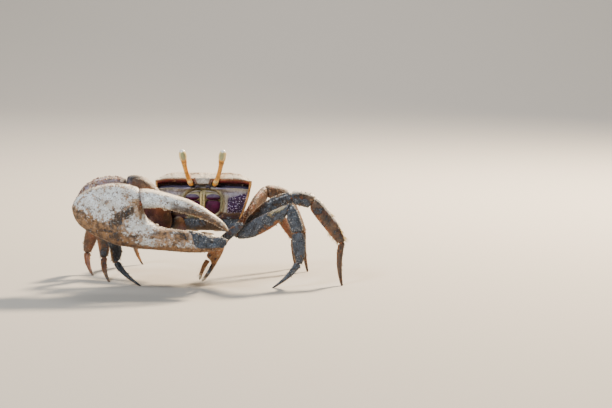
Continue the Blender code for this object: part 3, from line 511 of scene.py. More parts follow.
# body: a dome over a rim, with sides that narrow below it; everything hangs from the middle of its front edge
body = {"front": np.array([-1.85, -11.15, 38.5]), "tilt": math.radians(10), "width": 35.0, "length": 22.5,
        "dome": 3.6, "rearDrop": 5.0, "depth": 13.8, "recess": 1.6, "crown": 0.72, "columns": 500,
        "domeRows": 40, "outline": ((0.0, 0.0), (0.45, 0.0), (0.86, 0.02), (1.0, 0.045), (0.965, 0.2),
                                    (0.89, 0.45), (0.74, 0.72), (0.56, 0.92), (0.36, 1.0), (0.0, 1.02))}
orbit = {"outer": 16.6, "roof": 1.3, "floor": 3.3, "deep": 2.3, "ledge": 3.4,
         "beads": (((4.1, 16.4, 0.42), 3.4, (0.15, 0.21), "stone"),
                   ((3.4, 17.0, 0.36), 0.12, (0.1, 0.15), "cream"))}
mouth = {"drop": 8.1, "wide": 6.85, "tall": 4.95, "deep": 1.2, "power": 2.6}


def bodyToWorld(points):  # tilted about the front edge, then moved to it
    x, y, z = points[..., 0], points[..., 1], points[..., 2]
    c, s = math.cos(body["tilt"]), math.sin(body["tilt"])
    return np.stack([x, y * c + z * s, z * c - y * s], -1) + body["front"]


# half the outline run from front to rear, denser along the face, then its mirror image
def bodyOutline(count):
    half = curveAt(body["outline"], np.interp(np.linspace(0, 1, count // 2 + 1), (0, 0.58, 1), (0, 3, 9)))
    half = half * (body["width"] / 2, body["length"])
    return np.vstack([half, half[-2:0:-1] * (-1, 1)])


def sideWidth(share):  # the sides draw in below the rim: 1 - 0.02 share - 0.2 share^1.6
    return 1 - 0.02 * share - 0.2 * share**1.6


def faceRecess(drop):  # the face draws back below its edge with the square of the drop
    return body["recess"] * np.clip(drop / body["depth"], 0, 1) ** 2


def frontCrown(x, fade):  # the front edge arches up between its corners
    return body["crown"] * fall(np.abs(x), 12.5, 17.4) * fade


def mouthShare(x, z):  # 1 on the frame of the mouth, less inside it
    power = mouth["power"]
    across, up = np.abs(x / mouth["wide"]), np.abs((z + mouth["drop"]) / mouth["tall"])
    return (across**power + up**power) ** (1 / power)


def domeGrid(outline):
    # rings shrink towards the middle: height = rim + dome, which falls off to the front, rear and sides
    share = np.concatenate([np.linspace(0.02, 0.9, body["domeRows"] - 12),
                            1 - 0.1 * np.linspace(0.92, 0, 12) ** 1.4])
    share = share[:, None]
    middle = 0.45 * body["length"]
    x, y = outline[:, 0] * share, middle + (outline[:, 1] - middle) * share
    back = np.clip(y / body["length"], 0, 1)
    half = outline[: len(outline) // 2 + 1]
    across = np.clip(np.abs(x) / (np.interp(y, half[:, 1], half[:, 0]) + 0.1), 0, 1)
    dome = (1 - across ** (6 - 3 * back)) ** 0.9 * (1 - np.exp(-back / 0.1)) * (1 - back**3)
    z = -body["rearDrop"] * back**1.6 + body["dome"] * dome * (1 - share**14)
    z = z + frontCrown(x, 1 - rise(y, 0, 7))
    ax = np.abs(x)  # grooves round the middle field, swellings over the gills, a ridge in from each corner
    inside = rise(1 - share, 0.0, 0.05)
    hollow = 0.3 * bell(ax - 3.6 - 0.03 * (y - 11) ** 2, 0.55) * band(y, 4, 7, 15, 18)
    hollow += 0.24 * bell(y - 10.4 - 0.05 * ax**2, 0.6) * fall(ax, 8, 11)
    hollow += 0.2 * bell(ax, 0.5) * fall(y, 2.0, 4.0)
    swell = 0.35 * np.exp(-((ax - 9) / 3.6) ** 2 - ((y - 12) / 4.5) ** 2)
    swell += 0.2 * np.exp(-((ax - 10) / 3) ** 2 - ((y - 5) / 2) ** 2)
    ridge = 0.28 * bell(ax - 16.6 + 0.36 * (y - 1), 0.35) * fall(y, 9, 12)
    return np.stack([x, y, z + (swell - hollow) * inside + ridge * rise(1 - share, 0, 0.02)], -1)


def sideGrid(outline):
    # rings going down: outline * sideWidth, front drawn back by the recess, level at the foot
    drop = np.concatenate([np.linspace(0.05, 4.4, 52), np.linspace(4.6, body["depth"], 48)])[:, None]
    share = drop / body["depth"]
    back = outline[:, 1] / body["length"]
    front = faceRecess(drop)
    x = outline[:, 0] * sideWidth(share)
    y = front + (body["length"] - 2.4 * share - front) * back
    z = -body["rearDrop"] * np.clip(back, 0, 1.02) ** 1.6 * (1 - share) - drop
    return np.stack([x, y, z], -1), np.broadcast_to(1 - rise(back, 0.028, 0.06), x.shape)


def faceRelief(x, z):
    # how far the face goes in: the orbits, the slot between them and the mouth; ridges and cheeks stand out
    ax, drop, frame = np.abs(x), -z, mouthShare(x, z)
    deep = orbit["deep"] * band(ax, 2.9, 3.5, 16.2, orbit["outer"])
    deep = deep * band(drop, orbit["roof"], orbit["roof"] + 0.2, 2.4, orbit["floor"] + 0.15)
    slot = 1.3 * fall(ax, 3.0, 3.5) * band(drop, 1.95, 2.15, 2.7, 3.3)
    lobe = -0.45 * fall(ax, 2.75 - 0.45 * drop, 3.25 - 0.45 * drop) * fall(drop, 1.7, 2.2)
    lobe = lobe * rise(drop, -0.1, 0.5) * (1 - 0.4 * bell(x, 0.7))
    lip = -0.22 * bell(drop - 0.75, 0.3) * band(ax, 3.4, 4.2, 15.8, 16.8)
    ledge = -0.34 * bell(drop - orbit["ledge"], 0.24) * band(ax, 3.6, 4.4, 15.8, 16.8)
    under = 0.22 * bell(drop - 4.6, 0.4) * band(ax, 6.6, 7.6, 14.5, 16.2)
    pit = mouth["deep"] * fall(frame, 0.93, 1.0)
    ring = -0.42 * bell(frame - 1.07, 0.05) * rise(drop, 2.9, 3.6)
    moat = 0.3 * bell(frame - 1.2, 0.05) * rise(drop, 4.4, 5.2)
    cheek = -0.75 * np.exp(-((ax - 12.2) / 3.2) ** 4 - ((drop - 8.4) / 3.4) ** 4)
    return deep + slot + lobe + lip + ledge + under + pit + ring + moat + cheek


def makeShell():
    outline = bodyOutline(body["columns"])
    dome = domeGrid(outline)
    blank = np.zeros(dome.shape[:2])
    side, facing = sideGrid(outline)
    relief = faceRelief(side[..., 0], side[..., 2]) * facing
    local = np.concatenate([dome, side])
    foot = len(dome)
    for _ in range(2):  # round the rim: each ring near it is averaged with its neighbours
        local[foot - 4:foot + 3] = (local[foot - 5:foot + 2] + 2 * local[foot - 4:foot + 3]
                                    + local[foot - 3:foot + 4]) / 4
    local[foot:, :, 1] += relief
    drop = np.concatenate([blank, -side[..., 2]])
    local[foot:, :, 2] += frontCrown(side[..., 0], fall(drop[foot:], 0, 6) * facing)
    x, y = local[..., 0], local[..., 1]
    ax = np.abs(x)
    face = np.concatenate([blank, facing])
    rough = lumps(local, 1.6, 3) * 0.07 + lumps(local, 0.6, 4) * 0.03
    points = bodyToWorld(local)
    normals = gridNormals(points)
    points = points + normals * (rough * (1 - 0.6 * face))[..., None]
    frame = mouthShare(x, -drop)
    wall = np.concatenate([blank, 1 - facing])
    top = 1 - np.clip(face + wall, 0, 1)
    noisy = lumps(local, 2.4, 8)
    share = np.clip(drop, 0, None) / body["depth"]
    beside = ax / (body["width"] / 2 * sideWidth(share))  # 1 at the side edge of the face
    patch = rise(ax, 8.8 - 0.1 * (drop - 5), 9.4) * fall(beside, 0.95, 0.965)
    patch = patch * rise(drop + 0.3 * (ax - 14), 4.7, 5.3) * fall(drop, 11.4, 12.0) * face
    brow = rise(ax, 2.9, 3.2) * face
    edge = rise(beside, 0.95, 0.972) * face * rise(drop, 0.3, 0.6)
    tint = painted(ax.shape, ("tan", top * rise(y + 0.8 * noisy, 2.0, 4.5) * 0.75),
                   ("stone", top * rise(noisy + 0.05 * (y - 12), -0.2, 0.6) * 0.7),
                   ("umber", top * rise(lumps(local, 4.0, 9) + 0.05 * (y - 14), 0.2, 0.8) * 0.4),
                   ("tan", wall * 0.9), ("orange", wall * rise(lumps(local, 3.0, 12), 0.0, 0.8) * 0.6),
                   ("stone", face * rise(drop, 3.2, 3.6)),
                   ("slate", face * rise(drop, 3.6, 4.6) * (0.25 + 0.45 * rise(noisy, -0.3, 0.6))),
                   ("rust", brow * band(drop, 0.25, 0.45, 1.2, 1.5)),
                   ("orange", brow * band(drop, 0.15, 0.3, 0.5, 0.7) * 0.7),
                   ("wine", brow * band(drop, 0.7, 1.1, 1.5, 1.8)),
                   # ink inside each orbit, below its roof, is painted shade
                   ("ink", face * band(drop, 1.3, 1.7, 2.2, 2.4) * 0.8),
                   ("lilac", face * rise(drop, 3.7, 4.6) * rise(ax, 5.0, 7.0) * 0.35),
                   ("dusk", face * band(drop, 2.1, 2.4, 3.1, 3.3)),
                   ("stone", face * fall(ax, 4.4, 5.0) * band(drop, 1.9, 2.1, 3.0, 3.3)),
                   ("silver", face * fall(ax, 2.8 - 0.45 * drop, 3.2 - 0.45 * drop)
                    * fall(drop, 1.85, 2.05) * 0.9),
                   ("stone", face * fall(ax, 3.0, 3.4) * fall(drop, 1.85, 2.05)
                    * (0.35 + 0.5 * rise(noisy, -0.2, 0.6))),
                   ("rust", face * bell(ax - 3.1 + 0.4 * drop, 0.4) * fall(drop, 1.85, 2.05) * 0.7),
                   ("stone", face * bell(drop - orbit["ledge"], 0.16) * rise(ax, 3.6, 4.4) * 0.8),
                   ("stone", face * fall(frame, 1.12, 1.2) * rise(drop, 3.0, 3.3) * 0.75),
                   ("olive", face * band(ax, 6.8, 7.6, 8.8, 9.8) * rise(drop, 4.5, 6.0) * 0.45),
                   ("olive", face * fall(frame, 0.97, 1.0) * rise(drop, 3.2, 3.4)),
                   ("olive", face * bell(frame - 1.05, 0.09) * rise(drop, 3.4, 4.2) * 0.8),
                   ("violet", patch), ("ink", patch * rise(-noisy, 0.0, 0.8) * 0.6),
                   # umber and then ink across the bottom of the face beside the mouth are painted shade
                   ("umber", face * rise(drop + 0.4 * noisy, 11.3, 11.9) * rise(ax, 5.0, 6.5)),
                   ("ink", face * rise(drop + 0.5 * noisy, 11.9, 12.8) * rise(ax, 5.0, 6.5) * 0.8),
                   ("moss", face * rise(drop, 12.0, 13.0) * fall(ax, 5.0, 6.5) * 0.8), ("gold", edge),
                   ("orange", edge * rise(noisy, 0.1, 0.9) * 0.6))
    wear = top * fall(y, 0.6, 2.6) * 0.9 + bell(drop, 0.25) * face * 0.7
    mud = top * rise(y, 13, 21) * 0.55 + wall * rise(drop, 7, 13) * 0.6
    mud = mud + face * rise(drop, 12.5, 14.0) * 0.25
    stain = top * (0.5 + 0.3 * noisy) + wall * 0.55
    stain = stain + face * (0.16 + 0.25 * noisy) * (1 - np.clip(patch, 0, 1))
    look = looks(ax.shape, mud + 0.12 * noisy * (1 - face), wear, stain)
    rng = np.random.default_rng(21)
    plain = (face > 0.9) & (drop > 5.2) & (frame > 1.28) & (ax > 7.6) & (patch < 0.1) & (drop < 12)
    bits = [skin(points, tint, look), *sprinkles(points, normals, (tint, look), rng, (
            ((top > 0.5) & (ax > 8.5) & (y < 13), 0.95, (0.08, 0.16), 31, "cream", 0.45),
            ((top > 0.5) & (ax <= 8.5) & (y < 6), 1.25, (0.06, 0.12), 32, "cream", 0.45),
            ((patch > 0.6), 0.74, (0.06, 0.18), 33, "frost", 1.0),
            (plain, 0.8, (0.07, 0.13), 34, "stone", 0.45),
            ((wall > 0.9) & (drop > 2.5) & (drop < 12), 1.4, (0.08, 0.15), 35, "cream", 0.45)))]
    for (first, last, step), height, (low, high), colour in orbit["beads"]:
        # beads where the face meets a height, found on the nearest corners
        row = np.arange(first, last, step)
        row = np.concatenate([row, -row])
        near = ((x[None] - row[:, None, None]) ** 2 + (drop[None] - height) ** 2
                + 9.0 * (face[None] < 0.9)).reshape(len(row), -1).argmin(1)
        bits.append(specked(points, normals, near, low, high, rng, solid(colour), (0, 0.4, 0), 0.9))
    putPiece("shell", bits, shellCrust, "shell", "carapace")


makeShell()
print("shell")

# mouth: two doors of plates that close on the midline, with their palps, outer rods and a plate above them
doors = {"upper": (3.55, 5.95, 2.85, 1.25), "lower": (3.75, 9.85, 3.25, 2.6), "bulge": 1.0, "edge": 0.4,
         "arches": ((0.9, 5.2, 4.25, "stone"), (1.2, 4.9, 5.0, "olive")), "bristles": 70,
         "palp": ((0.62, 4.15), (0.5, 5.9), (0.58, 8.2), (0.42, 10.4)),
         "rod": ((6.75, 5.4), (6.85, 8.4), (6.3, 11.2))}


def pillow(edge, front, bulge, back, rings):
    # rings shrink onto the middle of an edge line: depth = front - bulge * (1 - share^3), with a flat back
    middle = edge.mean(0)
    share = np.concatenate([[0.1, 0.6, 0.93], np.ones(2), np.linspace(0.985, 0.04, rings)])
    depth = np.concatenate([[back] * 3, [back * 0.7 + front * 0.3, front + 0.12],
                            front - bulge * (1 - np.linspace(0.985, 0.04, rings) ** 3)])
    flat = middle + (edge[None] - middle) * share[:, None, None]
    return flat, np.broadcast_to(depth[:, None], flat.shape[:2])


def onFace(flat, depth):  # across and height on the face, with depth behind it
    return bodyToWorld(np.stack([flat[..., 0], depth + faceRecess(-flat[..., 1]), flat[..., 1]], -1))


def ringsOn(line, side, wide, up, tall, sides, power):
    # ring = line + across * wide * side + height * tall * up, with across and height on a superellipse
    across, height = ringShape(sides, power)
    return (line[:, None] + across[:, None] * (side * wide[:, None])[:, None]
            + height[:, None] * (up * tall[:, None])[:, None])


def tube(path, wide, thick, sides, rows=40, rounded=0.5):
    # rings square to a smooth path: side = direction x up, each a superellipse, round at the ends; a size is
    # one number or several spread along the path
    path = np.asarray(path, float)
    place = np.linspace(0, len(path) - 1, rows)
    line = curveAt(path, place)
    way = unit(np.gradient(line, axis=0))
    ref = np.array([0.0, -1.0, 0.0]) if abs(way[:, 1]).mean() < 0.8 else np.array([1.0, 0, 0])
    side = unit(np.cross(way, ref))
    up = np.cross(side, way)
    t = place / place[-1]
    wide, thick = (np.interp(t, np.linspace(0, 1, len(size)), size) / 2
                   for size in (np.atleast_1d(wide), np.atleast_1d(thick)))
    gone = np.concatenate([[0], np.cumsum(np.linalg.norm(np.diff(line, axis=0), axis=1))])
    end = np.minimum(gone, gone[-1] - gone) / max(rounded, 1e-3)
    lip = roundEnd(end, 0.02)
    return ringsOn(line, side, wide * lip, up, thick * lip, sides, 2.0)


def rodPatch(line, wide, thick, sides, *layers, **more):  # a painted tube
    grid = tube(line, wide, thick, sides, **more)
    return skin(grid, painted(grid.shape[:2], *layers))


# one plate: its rounded outline is cut by the frame of the mouth, then filled as a pillow
def doorPatch(part, way):
    x, drop, wide, tall = doors[part]
    upper = part == "upper"
    angle = np.linspace(0, 2 * np.pi, 64, endpoint=False)
    across, up = (np.sign(turn) * np.abs(turn) ** 0.7 for turn in (np.cos(angle), np.sin(angle)))
    edge = np.stack([x + across * wide, up * tall - drop], -1)
    high = np.clip(np.abs((edge[:, 1] + mouth["drop"]) / (mouth["tall"] - 0.1)), 0, 1)
    inner = mouth["wide"] * (1 - high ** mouth["power"]) ** (1 / mouth["power"]) - 0.12
    edge[:, 0] = np.minimum(edge[:, 0], np.maximum(inner, 1.2))
    flat, depth = pillow(edge, doors["edge"], doors["bulge"] * (0.75 if upper else 1.0), 1.2, 20)
    flat = flat * (way, 1)
    ax, z = np.abs(flat[..., 0]), flat[..., 1]
    grooved = 0.14 * bell(ax - 1.6, 0.22) * (not upper)
    uneven = 0.03 * lumps(np.stack([flat[..., 0], z, z * 0], -1), 0.7, 40)
    lobe = fall(((ax - 3.8) / 2.5) ** 2 + ((z + 6.15) / 1.1) ** 2, 0.85, 1.15)
    low = fall(z, -6.5, -6.0)
    tint = painted(depth.shape, ("violet", lobe) if upper else ("maroon", 1.0),
                   # maroon low on each upper lobe is its own colour; lilac over its top is a painted
                   # highlight
                   ("maroon", lobe * low * 0.8 * upper), ("lilac", lobe * (1 - low) * 0.3 * upper),
                   ("olive", fall(ax, 0.85, 1.1) * 0.9),
                   ("moss", rise(depth, doors["edge"] - 0.25, doors["edge"]) * 0.7))
    return skin(onFace(flat, depth + grooved * (depth < doors["edge"]) + uneven), tint)


def makeMouth():
    for name, way in (("left", 1), ("right", -1)):
        bits = [doorPatch("upper", way), doorPatch("lower", way)]
        palp = onFace(np.array(doors["palp"]) * (way, -1), np.array([0.1, -0.75, -0.95, -0.6]))
        bits.append(rodPatch(palp, (0.5, 0.78, 0.62, 0.74, 0.5, 0.62, 0.3),
                             (0.5, 0.7, 0.6, 0.7, 0.5, 0.6, 0.3), 14, ("olive", 0.3), ("straw", 0.35)))
        rod = onFace(np.array(doors["rod"]) * (way, -1), np.array([-0.2, -0.45, -0.2]))
        bits.append(rodPatch(rod, (0.55, 0.8, 0.8, 0.5), 0.6, 14, ("moss", 0.9)))
        for low, high, drop, colour in doors["arches"]:  # the arched plate above the doors
            bow = np.array([(low, drop - 0.28), ((low + high) / 2, drop - 0.12), (high, drop + 0.42)])
            bits.append(rodPatch(onFace(bow * (way, -1), np.array([0.62, 0.45, 0.75])), 0.62, 0.5, 12,
                                 (colour, 0.75)))
        rng = np.random.default_rng(50 + way)
        count = doors["bristles"]  # a fringe along the inner edge and the palps' ends
        drop = rng.uniform(5.4, 12.0, count)
        foot = onFace(np.stack([way * rng.uniform(0.25, 0.75, count), -drop], -1), np.full(count, -0.2))
        out = unit(np.stack([-way * rng.uniform(0.1, 0.7, count), -np.ones(count),
                             -rng.uniform(0.3, 1.0, count)], -1))
        fringe = hairs(foot, out, (0, 0, -0.4), rng.uniform(0.6, 1.1, count), 0.08, solid("straw", 0.9))
        putPiece("mouth_" + name, bits, mouthGloss, "mouth", "maxilliped_" + name)
        putPiece("mouth_hair_" + name, [fringe], bristle, "setae")


makeMouth()
print("mouth")

# eyes: slim stalks that bow outwards beside the front lobe, each with a more upright long oval eye on its end
stalk = {"apart": 8.2, "radius": 0.86, "length": 9.2, "lean": math.radians(17), "bow": 0.4,
         "eyeLean": math.radians(10), "eyeRadius": 1.4, "eyeLength": 5.1,
         "stations": ((0.0, 0.9), (0.06, 1.1), (0.13, 1.2), (0.19, 1.08), (0.24, 1.0), (0.4, 0.94),
                      (0.65, 0.92), (0.86, 1.02), (0.96, 1.24), (1.0, 1.3))}


def makeEye(name, way):
    sideways = np.array([way, 0.0, 0.0])
    foot = body["front"] + np.array([way * stalk["apart"] / 2, -0.1, -2.0])
    axis, upright = (unit(np.array([way * math.sin(lean), -0.1, math.cos(lean)]))
                     for lean in (stalk["lean"], stalk["eyeLean"]))
    outer = unit(sideways - axis * axis[0] * way)
    other = np.cross(outer, axis)
    t = np.linspace(0, 1, 70)
    radius = readCurve(stalk["stations"], t)[0] * stalk["radius"]
    line = foot + axis * (stalk["length"] * t)[:, None] + outer * (stalk["bow"] * 4 * t * (1 - t))[:, None]
    across, up = ringShape(28)
    points = line[:, None] + radius[:, None, None] * (across[:, None] * outer + up[:, None] * other * 0.92)
    points = points + 0.03 * lumps(points, 0.7, 60)[..., None] * outer
    grid = points.shape[:2]
    tall = np.broadcast_to(t[:, None], grid)
    lit = np.broadcast_to(rise(across, 0.2, 0.9), grid)
    tint = painted(grid, ("amber", 0.6), ("straw", lit * 0.4), ("straw", bell(tall - 0.17, 0.05) * 0.7),
                   ("orange", rise(tall, 0.92, 0.98) * 0.4))
    stem = skin(points, tint, looks(grid, stain=0.25))
    putPiece("eyestalk_skin_" + name, [stem], stalkGloss, "eyestalk", "eyestalk_" + name)
    # eye: rings at s from -1 to 1 of its half length, radius * sqrt(1 - |s|^2.3); a green window in front
    side = unit(sideways - upright * upright[0] * way)
    front = np.cross(side, upright)
    front = front if front[1] < 0 else -front
    middle = foot + axis * stalk["length"] + axis * 0.2 + upright * stalk["eyeLength"] * 0.34
    s = -np.cos(np.linspace(0.45, math.pi - 0.02, 60))
    across, up = ringShape(56)
    wide = stalk["eyeRadius"] * np.sqrt(1 - np.abs(s) ** 2.3)
    egg = middle + s[:, None, None] * upright * stalk["eyeLength"] / 2 + wide[:, None, None] * (
        across[:, None] * side + up[:, None] * front)
    rel, out, ahead = ((egg - middle) @ arrow for arrow in (upright, side, front))
    window = fall(((rel - 0.15) / 1.7) ** 2 + ((out + 0.18) / 0.85) ** 2 - 1.5 * (ahead < 0) * ahead, 0.5,
                  1.3)
    tint = painted(egg.shape[:2], ("straw", 1 - window), ("bone", rise(rel, 1.5, 2.1) * 0.8),
                   ("amber", fall(rel, -1.6, -0.9) * 0.9), ("umber", fall(rel, -2.35, -2.05)))
    putPiece("cornea_" + name, [skin(egg, tint)], corneaGlaze, "eye", "eye_" + name)


makeEye("left", 1)
makeEye("right", -1)
print("eyes")

# feelers: short jointed whips from the inner corner of each orbit, and two folded ones under the front lobe
feelers = {"whip": ((4.6, 3.0, -0.6), (6.2, 3.15, -1.0), (8.4, 3.2, -1.1), (10.6, 3.5, -0.9)),
           "folded": ((1.0, 2.9, 0.3), (1.7, 2.3, -0.25), (2.6, 2.75, -0.15), (2.2, 3.1, 0.2)),
           "thick": {"whip": (0.75, 0.5, 0.34, 0.2), "folded": (0.6, 0.75, 0.6, 0.4)}, "rings": 64}


def makeFeelers():
    bits = []
    for way in (1, -1):
        for part, colour in (("whip", "lilac"), ("folded", "slate")):
            x, drop, depth = np.array(feelers[part]).T
            thick = feelers["thick"][part]
            grid = tube(onFace(np.stack([way * x, -drop], -1), depth), thick, thick, 12,
                        rows=feelers["rings"], rounded=0.3)
            # thickness * (1 + 0.07 sin)
            wave = 1 + 0.07 * np.sin(np.arange(feelers["rings"]) * 1.6)[:, None, None]
            middle = grid.mean(1, keepdims=True)
            bits.append(skin(middle + (grid - middle) * wave, painted(grid.shape[:2], (colour, 0.7))))
    putPiece("feelers", bits, mouthGloss, "mouth")


makeFeelers()
print("feelers")

# underside: a breast plate that narrows downwards between the legs, a seam at each leg, and the folded tail
belly = {"bottom": 18.2, "levels": ((0.0, 0.76, 1.9, 19.6), (0.3, 0.72, 2.1, 19.2), (0.65, 0.62, 2.7, 18.4),
                                    (0.9, 0.5, 3.7, 17.4), (1.0, 0.42, 4.6, 16.6)),
         "seams": (6.2, 9.4, 12.8, 15.8), "tailRows": 120, "tailSides": 36}


def makeUnderside():
    outline = bodyOutline(260)
    back = outline[:, 1] / body["length"]
    share = np.concatenate([np.linspace(0, 0.9, 30), np.full(26, 1.0)])[:, None]
    shrink = np.concatenate([np.ones(30), np.linspace(0.99, 0.06, 26)])[:, None]
    wide, front, rear = readCurve(belly["levels"], np.minimum(share[:, 0], 1))
    x = outline[:, 0] * wide[:, None] * shrink
    middle = 10.4
    y = middle + (front[:, None] + (rear - front)[:, None] * back - middle) * shrink
    z = -body["depth"] + 0.6 - (belly["bottom"] - body["depth"] + 0.35) * share + 0 * x
    ax = np.abs(x)
    seam = sum(bell(y - at - 0.22 * ax, 0.28) for at in belly["seams"]) * rise(ax, 2.6, 3.4)
    trough = 0.55 * fall(ax, 2.6, 3.3) * rise(y, 5.0, 6.2)
    inside = rise(share, 0.55, 1.0)
    z = z + (0.35 * seam + trough) * inside + 0.04 * lumps(np.stack([x, y, z], -1), 0.9, 70)
    grid = z.shape
    tint = painted(grid, ("tan", rise(lumps(np.stack([x, y, z], -1), 3.0, 71), -0.2, 0.6) * 0.7),
                   # umber on the seams is their own colour; umber over the front of the breast plate is
                   # painted shade
                   ("umber", seam * inside * 0.8), ("umber", fall(y, 4.0, 7.0) * 0.95))
    look = looks(grid, 0.25 + 0.3 * lumps(np.stack([x, y, z], -1), 4.0, 72) + 0.3 * (1 - inside))
    putPiece("breastplate", [skin(bodyToWorld(np.stack([x, y, z], -1)), tint, look)], underCrust,
             "underside", "thorax")
    # tail: half width 2.75 * (1 - 0.55 t^1.4), thicker in the middle of each of its six joints
    grid = belly["tailRows"], belly["tailSides"]
    t = np.linspace(0, 1, grid[0])
    bump = np.abs(np.sin(t * math.pi * 6)) ** 0.5
    lip = roundEnd(np.minimum(t, 1 - t) / 0.04, 0.03)
    wide = 2.75 * (1 - 0.55 * t**1.4) * (0.93 + 0.07 * bump) * lip
    thick = (0.38 + 0.16 * bump) * lip
    across, up = ringShape(grid[1], 2.8)
    tail = np.stack([across * wide[:, None], np.broadcast_to((17.0 - 11.6 * t)[:, None], grid),
                     -belly["bottom"] - 0.32 - 0.5 + up * thick[:, None]], -1)
    grooves = np.broadcast_to((1 - bump)[:, None], grid)
    tint = painted(grid, ("umber", rise(grooves, 0.35, 0.9) * 0.8))
    putPiece("tail", [skin(bodyToWorld(tail), tint)], underCrust, "underside", "pleon")


makeUnderside()
print("underside")

# great claw: palm and fixed finger in one; outlines are shares of its length, along and up from the heel
claw = {"length": 55.0, "heel": np.array([-44.6, -18.0, -8.3]), "turn": math.radians(2), "lean": 0.17,
        "palmTop": ((0.0, 0.006), (0.006, 0.022), (0.02, 0.05), (0.07, 0.098), (0.138, 0.131), (0.22, 0.151),
                    (0.31, 0.156), (0.39, 0.143), (0.431, 0.122), (0.445, 0.073), (0.456, 0.002),
                    (0.492, -0.075), (0.569, -0.122), (0.665, -0.14), (0.742, -0.148), (0.813, -0.164),
                    (0.884, -0.18), (0.958, -0.186), (1.0, -0.2)),
        "palmUnder": ((0.0, -0.006), (0.005, -0.03), (0.02, -0.075), (0.055, -0.118), (0.115, -0.162),
                      (0.165, -0.187), (0.256, -0.227), (0.367, -0.254), (0.553, -0.271), (0.69, -0.281),
                      (0.813, -0.285), (0.885, -0.28), (0.958, -0.262), (1.0, -0.214)),
        "palmThick": ((0.0, 0.03), (0.02, 0.09), (0.06, 0.14), (0.16, 0.19), (0.3, 0.195), (0.42, 0.165),
                      (0.5, 0.128), (0.62, 0.1), (0.8, 0.078), (0.93, 0.052), (1.0, 0.02)),
        "fingerTop": ((0.441, 0.124), (0.516, 0.12), (0.591, 0.104), (0.664, 0.083), (0.738, 0.06),
                      (0.813, 0.025), (0.885, -0.018), (0.955, -0.069), (0.99, -0.105), (1.005, -0.134)),
        "fingerUnder": ((0.441, -0.002), (0.5, 0.0), (0.569, 0.004), (0.635, -0.011), (0.738, -0.035),
                        (0.813, -0.056), (0.885, -0.085), (0.955, -0.122), (0.99, -0.142), (1.005, -0.15)),
        "fingerThick": ((0.441, 0.13), (0.53, 0.125), (0.65, 0.105), (0.8, 0.076), (0.93, 0.048),
                        (1.005, 0.014)),
        "sides": 144, "power": 2.35,
        "teeth": {"palm": ((0.545, 0.8), (0.9, 0.95)), "finger": ((0.6, 1.15), (0.83, 0.8))},
        "dirt": ((1.0, (0.43, 0.01), (0.33, -0.045), 0.032), (1.2, (0.34, -0.04), (0.24, -0.14), 0.04),
                 (1.0, (0.03, -0.03), (0.12, -0.14), 0.035), (1.1, (0.03, 0.003), (0.085, -0.022), 0.015),
                 (1.1, (0.272, -0.105), (0.28, -0.125), 0.018), (0.8, (0.13, -0.14), (0.3, -0.2), 0.03),
                 (0.7, (0.3, -0.17), (0.42, -0.17), 0.025), (0.7, (0.6, -0.15), (0.7, -0.18), 0.03),
                 (0.6, (0.5, -0.17), (0.58, -0.21), 0.025), (0.8, (0.7, -0.15), (0.75, -0.215), 0.022)),
        "studs": {  # first, last and step along, column, sizes, colour, height, play, seed and fading
            "palm": (((0.03, 0.43, 0.0125), 36, (0.22, 0.42), "pink", 1.15, 5, 1),
                     ((0.05, 0.42, 0.017), 45, (0.18, 0.32), "tan", 1.0, 3, 2),
                     ((0.04, 0.86, 0.0125), 108, (0.14, 0.3), "tan", 1.0, 3, 3),
                     ((0.5, 0.975, 0.0155), 36, (0.28, 0.55), "cream", 1.1, 2, 4),
                     ((0.49, 0.94, 0.012), 25, (0.14, 0.26), "tan", 1.0, 2, 5),
                     ((0.49, 0.94, 0.012), 47, (0.14, 0.26), "tan", 1.0, 2, 6)),
            "finger": (((0.45, 0.8, 0.0125), 36, (0.16, 0.34), "pink", 1.1, 4, 7, 1.2, 0.6),
                       ((0.5, 0.975, 0.0155), 108, (0.26, 0.5), "cream", 1.1, 2, 8),
                       ((0.5, 0.94, 0.012), 97, (0.12, 0.24), "tan", 1.0, 2, 9),
                       ((0.5, 0.94, 0.012), 119, (0.12, 0.24), "tan", 1.0, 2, 10))}}


def clawToWorld(points):  # turned about the upright axis, then moved to the heel of the palm
    x, y, z = points[..., 0], points[..., 1], points[..., 2]
    c, s = math.cos(claw["turn"]), math.sin(claw["turn"])
    return np.stack([x * c - y * s, x * s + y * c, z], -1) + body["front"] + claw["heel"]


def clawGrid(part, place, lean=0.0):
    # rings at each place: across = thickness, up = half the height between the outlines, on a superellipse
    length = claw["length"]
    shares = [readCurve(claw[part + line], place)[0] for line in ("Top", "Under", "Thick")]
    top, under, thick = (share * length for share in shares)
    across, up = ringShape(claw["sides"], claw["power"])
    middle, half = ((top + under) / 2)[:, None], np.maximum((top - under) / 2, 0.12)[:, None]
    slant = (lean * np.clip(1 - (place - place[0]) / 0.15, 0, 1))[:, None]
    grid = np.stack([place[:, None] * length + slant * half * (1 - up),
                     across * np.maximum(thick, 0.4)[:, None] / 2, middle + up * half], -1)
    return grid, shares[0][:, None], shares[1][:, None]


def clawShares(points):  # how far along and how far up, as shares of the claw's length
    return points[..., 0] / claw["length"], points[..., 2] / claw["length"]


# 1 along a line from start to end seen from the front, fading over width
def clawMark(points, start, end, width):
    a, b = clawShares(points)
    way = np.subtract(end, start)
    t = np.clip(((a - start[0]) * way[0] + (b - start[1]) * way[1]) / (way @ way), 0, 1)
    return np.exp(-((a - start[0] - t * way[0]) ** 2 + (b - start[1] - t * way[1]) ** 2) / width**2)


def studs(grid, world, out, column, places, sizes, colour, tall, spread=0.0, seed=0):
    # knobs on a line along the grid: the nearest ring to each place, on one of its columns with some play
    rng = np.random.default_rng(seed)
    along = grid[:, 0, 0] / claw["length"]
    rows = np.abs(along[None] - np.asarray(places)[:, None]).argmin(1)
    cols = np.round(column + rng.uniform(-1, 1, len(rows)) * spread).astype(int) % grid.shape[1]
    return grains(world[rows, cols], out[rows, cols], sizes, solid(colour, 0.85), (0, 0.3, 0.45), tall)


